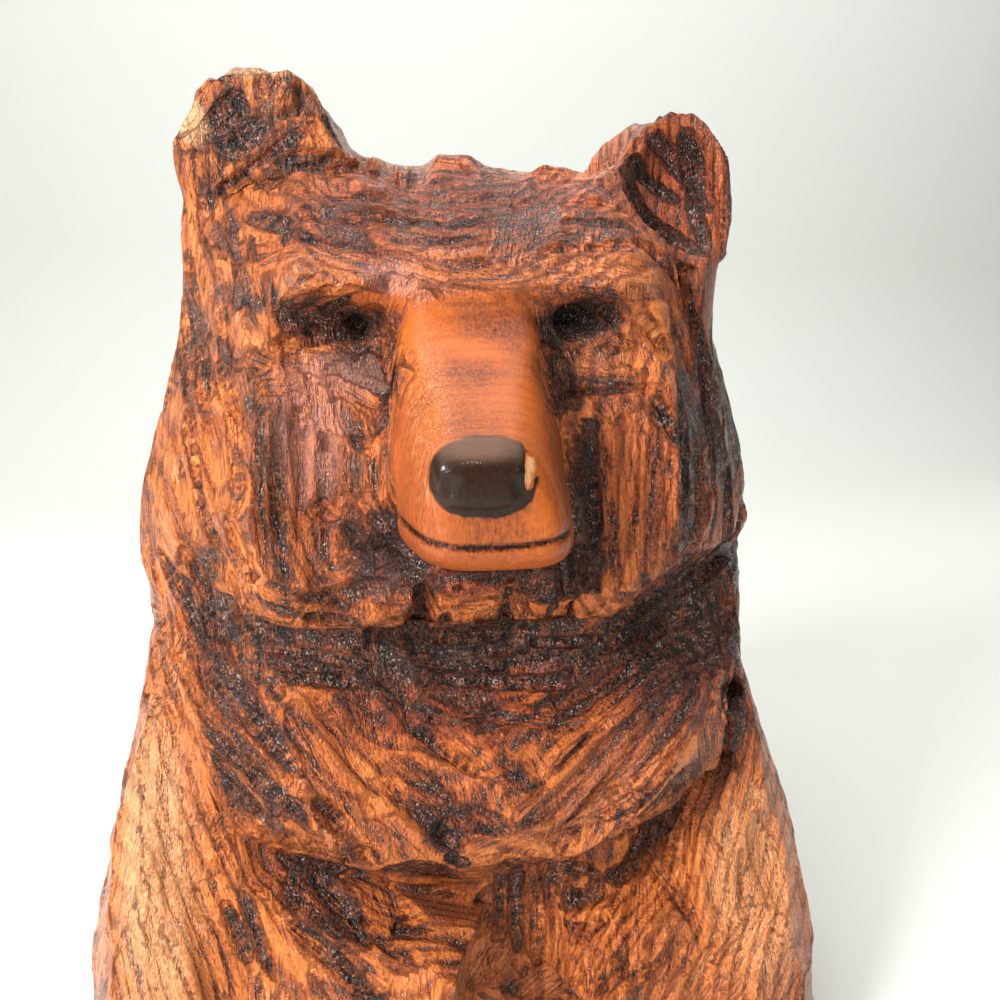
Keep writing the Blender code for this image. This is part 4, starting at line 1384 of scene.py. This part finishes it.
    span = {"From Min": 0.3, "From Max": 0.7, "To Min": 0.3, "To Max": 0.45}
    gloss = add("MapRange", {"Value": mottle, **span})
    tree.links.new(wood, shader.inputs["Base Color"])
    tree.links.new(gloss, shader.inputs["Roughness"])
    tree.links.new(bump, shader.inputs["Normal"])
    tree.links.new(bead, shader.inputs["Coat Normal"])
    film = add("MapRange", {"Value": smooth, "To Min": 1.0, "To Max": 0.3})
    tree.links.new(film, shader.inputs["Coat Weight"])
    shader.inputs["Coat Roughness"].default_value = 0.08
    shader.inputs["Specular IOR Level"].default_value = 0.1
    shader.inputs["IOR"].default_value = 1.5
    return material


def studio_paper(colour):
    """Matt paper for the floor and wall."""
    material = bpy.data.materials.new("matt studio paper")
    material.use_nodes = True
    shader = material.node_tree.nodes["Principled BSDF"]
    shader.inputs["Base Color"].default_value = (*colour, 1)
    shader.inputs["Roughness"].default_value = 0.95
    shader.inputs["Specular IOR Level"].default_value = 0.1
    return material


# ---------------------------------------------------------------- the stage


def paper_sweep(size, paper):
    """A floor that curves up into a wall behind the bear."""
    bm = bmesh.new()
    half = size / 2
    bmesh.ops.create_grid(bm, x_segments=1, y_segments=1, size=half)
    bmesh.ops.translate(bm, verts=bm.verts, vec=(0, WALL_Y - half, LOW.z))
    back = [e for e in bm.edges if all(abs(v.co.y - WALL_Y) < 1e-4 for v in e.verts)]
    raised = bmesh.ops.extrude_edge_only(bm, edges=back)
    top = [item for item in raised["geom"] if isinstance(item, bmesh.types.BMVert)]
    bmesh.ops.translate(bm, verts=top, vec=(0, 0, half))
    fold = [e for e in bm.edges if len(e.link_faces) == 2]
    bmesh.ops.bevel(
        bm,
        geom=fold,
        offset=PAPER_CURVE,
        segments=16,
        profile=0.5,
        affect="EDGES",
        material=-1,
    )
    bmesh.ops.recalc_face_normals(bm, faces=bm.faces)
    mesh = bpy.data.meshes.new("studio_floor")
    bm.to_mesh(mesh)
    bm.free()
    mesh.polygons.foreach_set("use_smooth", [True] * len(mesh.polygons))
    mesh.materials.append(paper)
    floor = bpy.data.objects.new("studio_floor", mesh)
    bpy.context.scene.collection.objects.link(floor)
    return floor


def hang_lamp(name, place, turn, size, power):
    """A square soft light, which the camera doesn't see."""
    data = bpy.data.lights.new(name, "AREA")
    data.size = size
    data.energy = power
    lamp = bpy.data.objects.new(name, data)
    lamp.location = place
    lamp.rotation_euler = turn
    lamp.visible_camera = False
    bpy.context.scene.collection.objects.link(lamp)


def studio_air(colour, fill):
    """The world: it looks as pale as the paper, but sheds only the fill light."""
    world = bpy.data.worlds.new("studio")
    world.use_nodes = True
    background = world.node_tree.nodes["Background"]
    background.inputs["Color"].default_value = (*colour, 1)
    seen = node(world.node_tree, "LightPath", {}, "Is Camera Ray")
    glow = {"Value": seen, "To Min": fill, "To Max": BEYOND}
    glow = node(world.node_tree, "MapRange", glow)
    world.node_tree.links.new(glow, background.inputs["Strength"])
    return world


# ---------------------------------------------------------------- settings


def length(name, description, default):
    return bpy.props.FloatProperty(
        name=name, description=description, default=default, min=0, unit="LENGTH", precision=5
    )


def colour(name, description, hex_colour):
    return bpy.props.FloatVectorProperty(
        name=name,
        description=description,
        default=linear(hex_colour),
        subtype="COLOR",
        min=0,
        max=1,
    )


class CarvingSizes(bpy.types.PropertyGroup):
    voxel: length("Fineness", "Grid on which the block is carved", 0.00095)
    spacing: length("Stroke spacing", "Between the rough passes of the saw", 0.017)
    depth: length("Stroke depth", "Depth of a rough pass", 0.0019)
    tear: length("Tear", "Height of torn fibres", 0.0010)
    comb: length("Comb", "Depth of the lines that the chain's teeth drag along a stroke", 0.00035)
    ring: length("Ring spacing", "Between growth rings", 0.0034)
    ring_rise: length("Ring rise", "Height of a growth ring", 0.00010)
    grain: length("Grain", "Height of the grain that runs up the log", 0.00012)
    triangles: bpy.props.IntProperty(
        name="Triangles",
        description="Triangles kept in the finished carving",
        default=192000,
        min=1000,
    )


class CarvingColours(bpy.types.PropertyGroup):
    honey: colour("Honey", "Clearest wood", "#ee9648")
    amber: colour("Amber", "Light sheared wood", "#de7c34")
    heart: colour("Heartwood", "Red-brown wood", "#bc5e28")
    russet: colour("Russet", "Dark stained wood", "#87462a")
    umber: colour("Umber", "Scorched wood", "#562b17")
    char: colour("Char", "Burnt wood in the tears", "#1e0e08")
    # Dust, and a painted grey sheen on torn wood.
    dust: colour("Dust", "Grey dust on torn wood", "#94796b")
    stain: colour("Stain", "Tint of the red stain", "#c8786a")
    # Painted glints: white flecks on the tips of the torn fibres.
    bloom: colour("White varnish", "Tips of the torn fibres", "#c8b4a6")
    # A painted pink sheen, for the varnish's reflection of the light.
    painted_sheen: colour("Pink bloom", "Pink bloom of the varnish", "#d09080")
    # Also a painted highlight on the muzzle's left flank.
    pale: colour("Bare", "Bare wood without stain", "#f3b680")
    nose: colour("Nose", "Black paint of the nose", "#1c0f08")
    # Rubbed paint, and a painted highlight on the top of the nose.
    nose_light: colour("Nose, rubbed", "Greyed paint of the nose", "#6b4c3a")


class StageSettings(bpy.types.PropertyGroup):
    wall: bpy.props.FloatProperty(
        name="Wall light",
        description="Power of the light on the wall",
        default=68.0,
        min=0,
        unit="POWER",
    )
    paper: colour("Paper", "Floor and wall", "#e7e9e3")
    floor: length("Floor", "Size of the floor", 6.0)
    key: bpy.props.FloatProperty(
        name="Key light",
        description="Power of the main light, at upper left",
        default=13.8,
        min=0,
        unit="POWER",
    )
    fill: bpy.props.FloatProperty(
        name="Fill", description="Strength of the light from all round", default=0.075, min=0
    )


# ---------------------------------------------------------------- operators


class BEAR_OT_carving(bpy.types.Operator):
    """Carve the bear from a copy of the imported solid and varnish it"""

    bl_idname = "bear.carving"
    bl_label = "Carve the Bear"

    def execute(self, context):
        sizes = context.scene.bear_sizes
        colours = {name: (*getattr(context.scene.bear_colours, name), 1.0) for name in WOOD_COLOURS}
        thing = carve(sizes)
        thing.data.materials.clear()
        thing.data.materials.append(varnished_cedar(colours, sizes))
        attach(thing, "root")
        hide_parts(NODE)
        return {"FINISHED"}


class BEAR_OT_stage(bpy.types.Operator):
    """Lay the floor and wall, hang the lights and set up the camera"""

    bl_idname = "bear.stage"
    bl_label = "Set the Stage"

    def execute(self, context):
        settings = context.scene.bear_stage
        paper_sweep(settings.floor, studio_paper(settings.paper))
        for lamp in LAMPS:
            turn = (Vector(AIM) - Vector(lamp.place)).to_track_quat("-Z", "Y").to_euler()
            hang_lamp(lamp.name, lamp.place, turn, lamp.size, lamp.share * settings.key)
        place = (0, WALL_Y - WALL_LAMP_GAP, WALL_LAMP_Z)
        turn = (math.radians(WALL_LAMP_TILT), 0, 0)
        hang_lamp("wall", place, turn, WALL_LAMP_SIZE, settings.wall)

        context.scene.world = studio_air(settings.paper, settings.fill)
        context.scene.view_settings.view_transform = "Standard"

        data = bpy.data.cameras.new("camera")
        data.lens = LENS
        data.sensor_width = SENSOR
        data.clip_start = 0.01
        camera = bpy.data.objects.new("camera", data)
        yaw, pitch = math.radians(CAMERA_YAW), math.radians(CAMERA_PITCH)
        camera.matrix_world = (
            Matrix.Translation(CAMERA_AT)
            @ Matrix.Rotation(-yaw, 4, "Z")
            @ Matrix.Rotation(math.pi / 2 - pitch, 4, "X")
        )
        context.scene.collection.objects.link(camera)
        context.scene.camera = camera
        return {"FINISHED"}


class BEAR_PT_panel(bpy.types.Panel):
    """The carved bear's sizes, colours and steps"""

    bl_idname = "BEAR_PT_panel"
    bl_label = "Carved Bear"
    bl_space_type = "VIEW_3D"
    bl_region_type = "UI"
    bl_category = "Carved Bear"

    def draw(self, context):
        for group in ("bear_sizes", "bear_colours", "bear_stage"):
            settings = getattr(context.scene, group)
            box = self.layout.box()
            for name in settings.__annotations__:
                box.prop(settings, name)
        for operator in (BEAR_OT_carving, BEAR_OT_stage):
            self.layout.operator(operator.bl_idname)


WOOD_COLOURS = tuple(CarvingColours.__annotations__)
CLASSES = (
    CarvingSizes,
    CarvingColours,
    StageSettings,
    BEAR_OT_carving,
    BEAR_OT_stage,
    BEAR_PT_panel,
)


def register():
    for cls in CLASSES:
        bpy.utils.register_class(cls)
    bpy.types.Scene.bear_sizes = bpy.props.PointerProperty(type=CarvingSizes)
    bpy.types.Scene.bear_colours = bpy.props.PointerProperty(type=CarvingColours)
    bpy.types.Scene.bear_stage = bpy.props.PointerProperty(type=StageSettings)


def unregister():
    del bpy.types.Scene.bear_sizes
    del bpy.types.Scene.bear_colours
    del bpy.types.Scene.bear_stage
    for cls in reversed(CLASSES):
        bpy.utils.unregister_class(cls)


def main():
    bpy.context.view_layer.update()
    register()
    bpy.ops.bear.stage()
    bpy.ops.bear.carving()


if __name__ == "__main__":
    main()
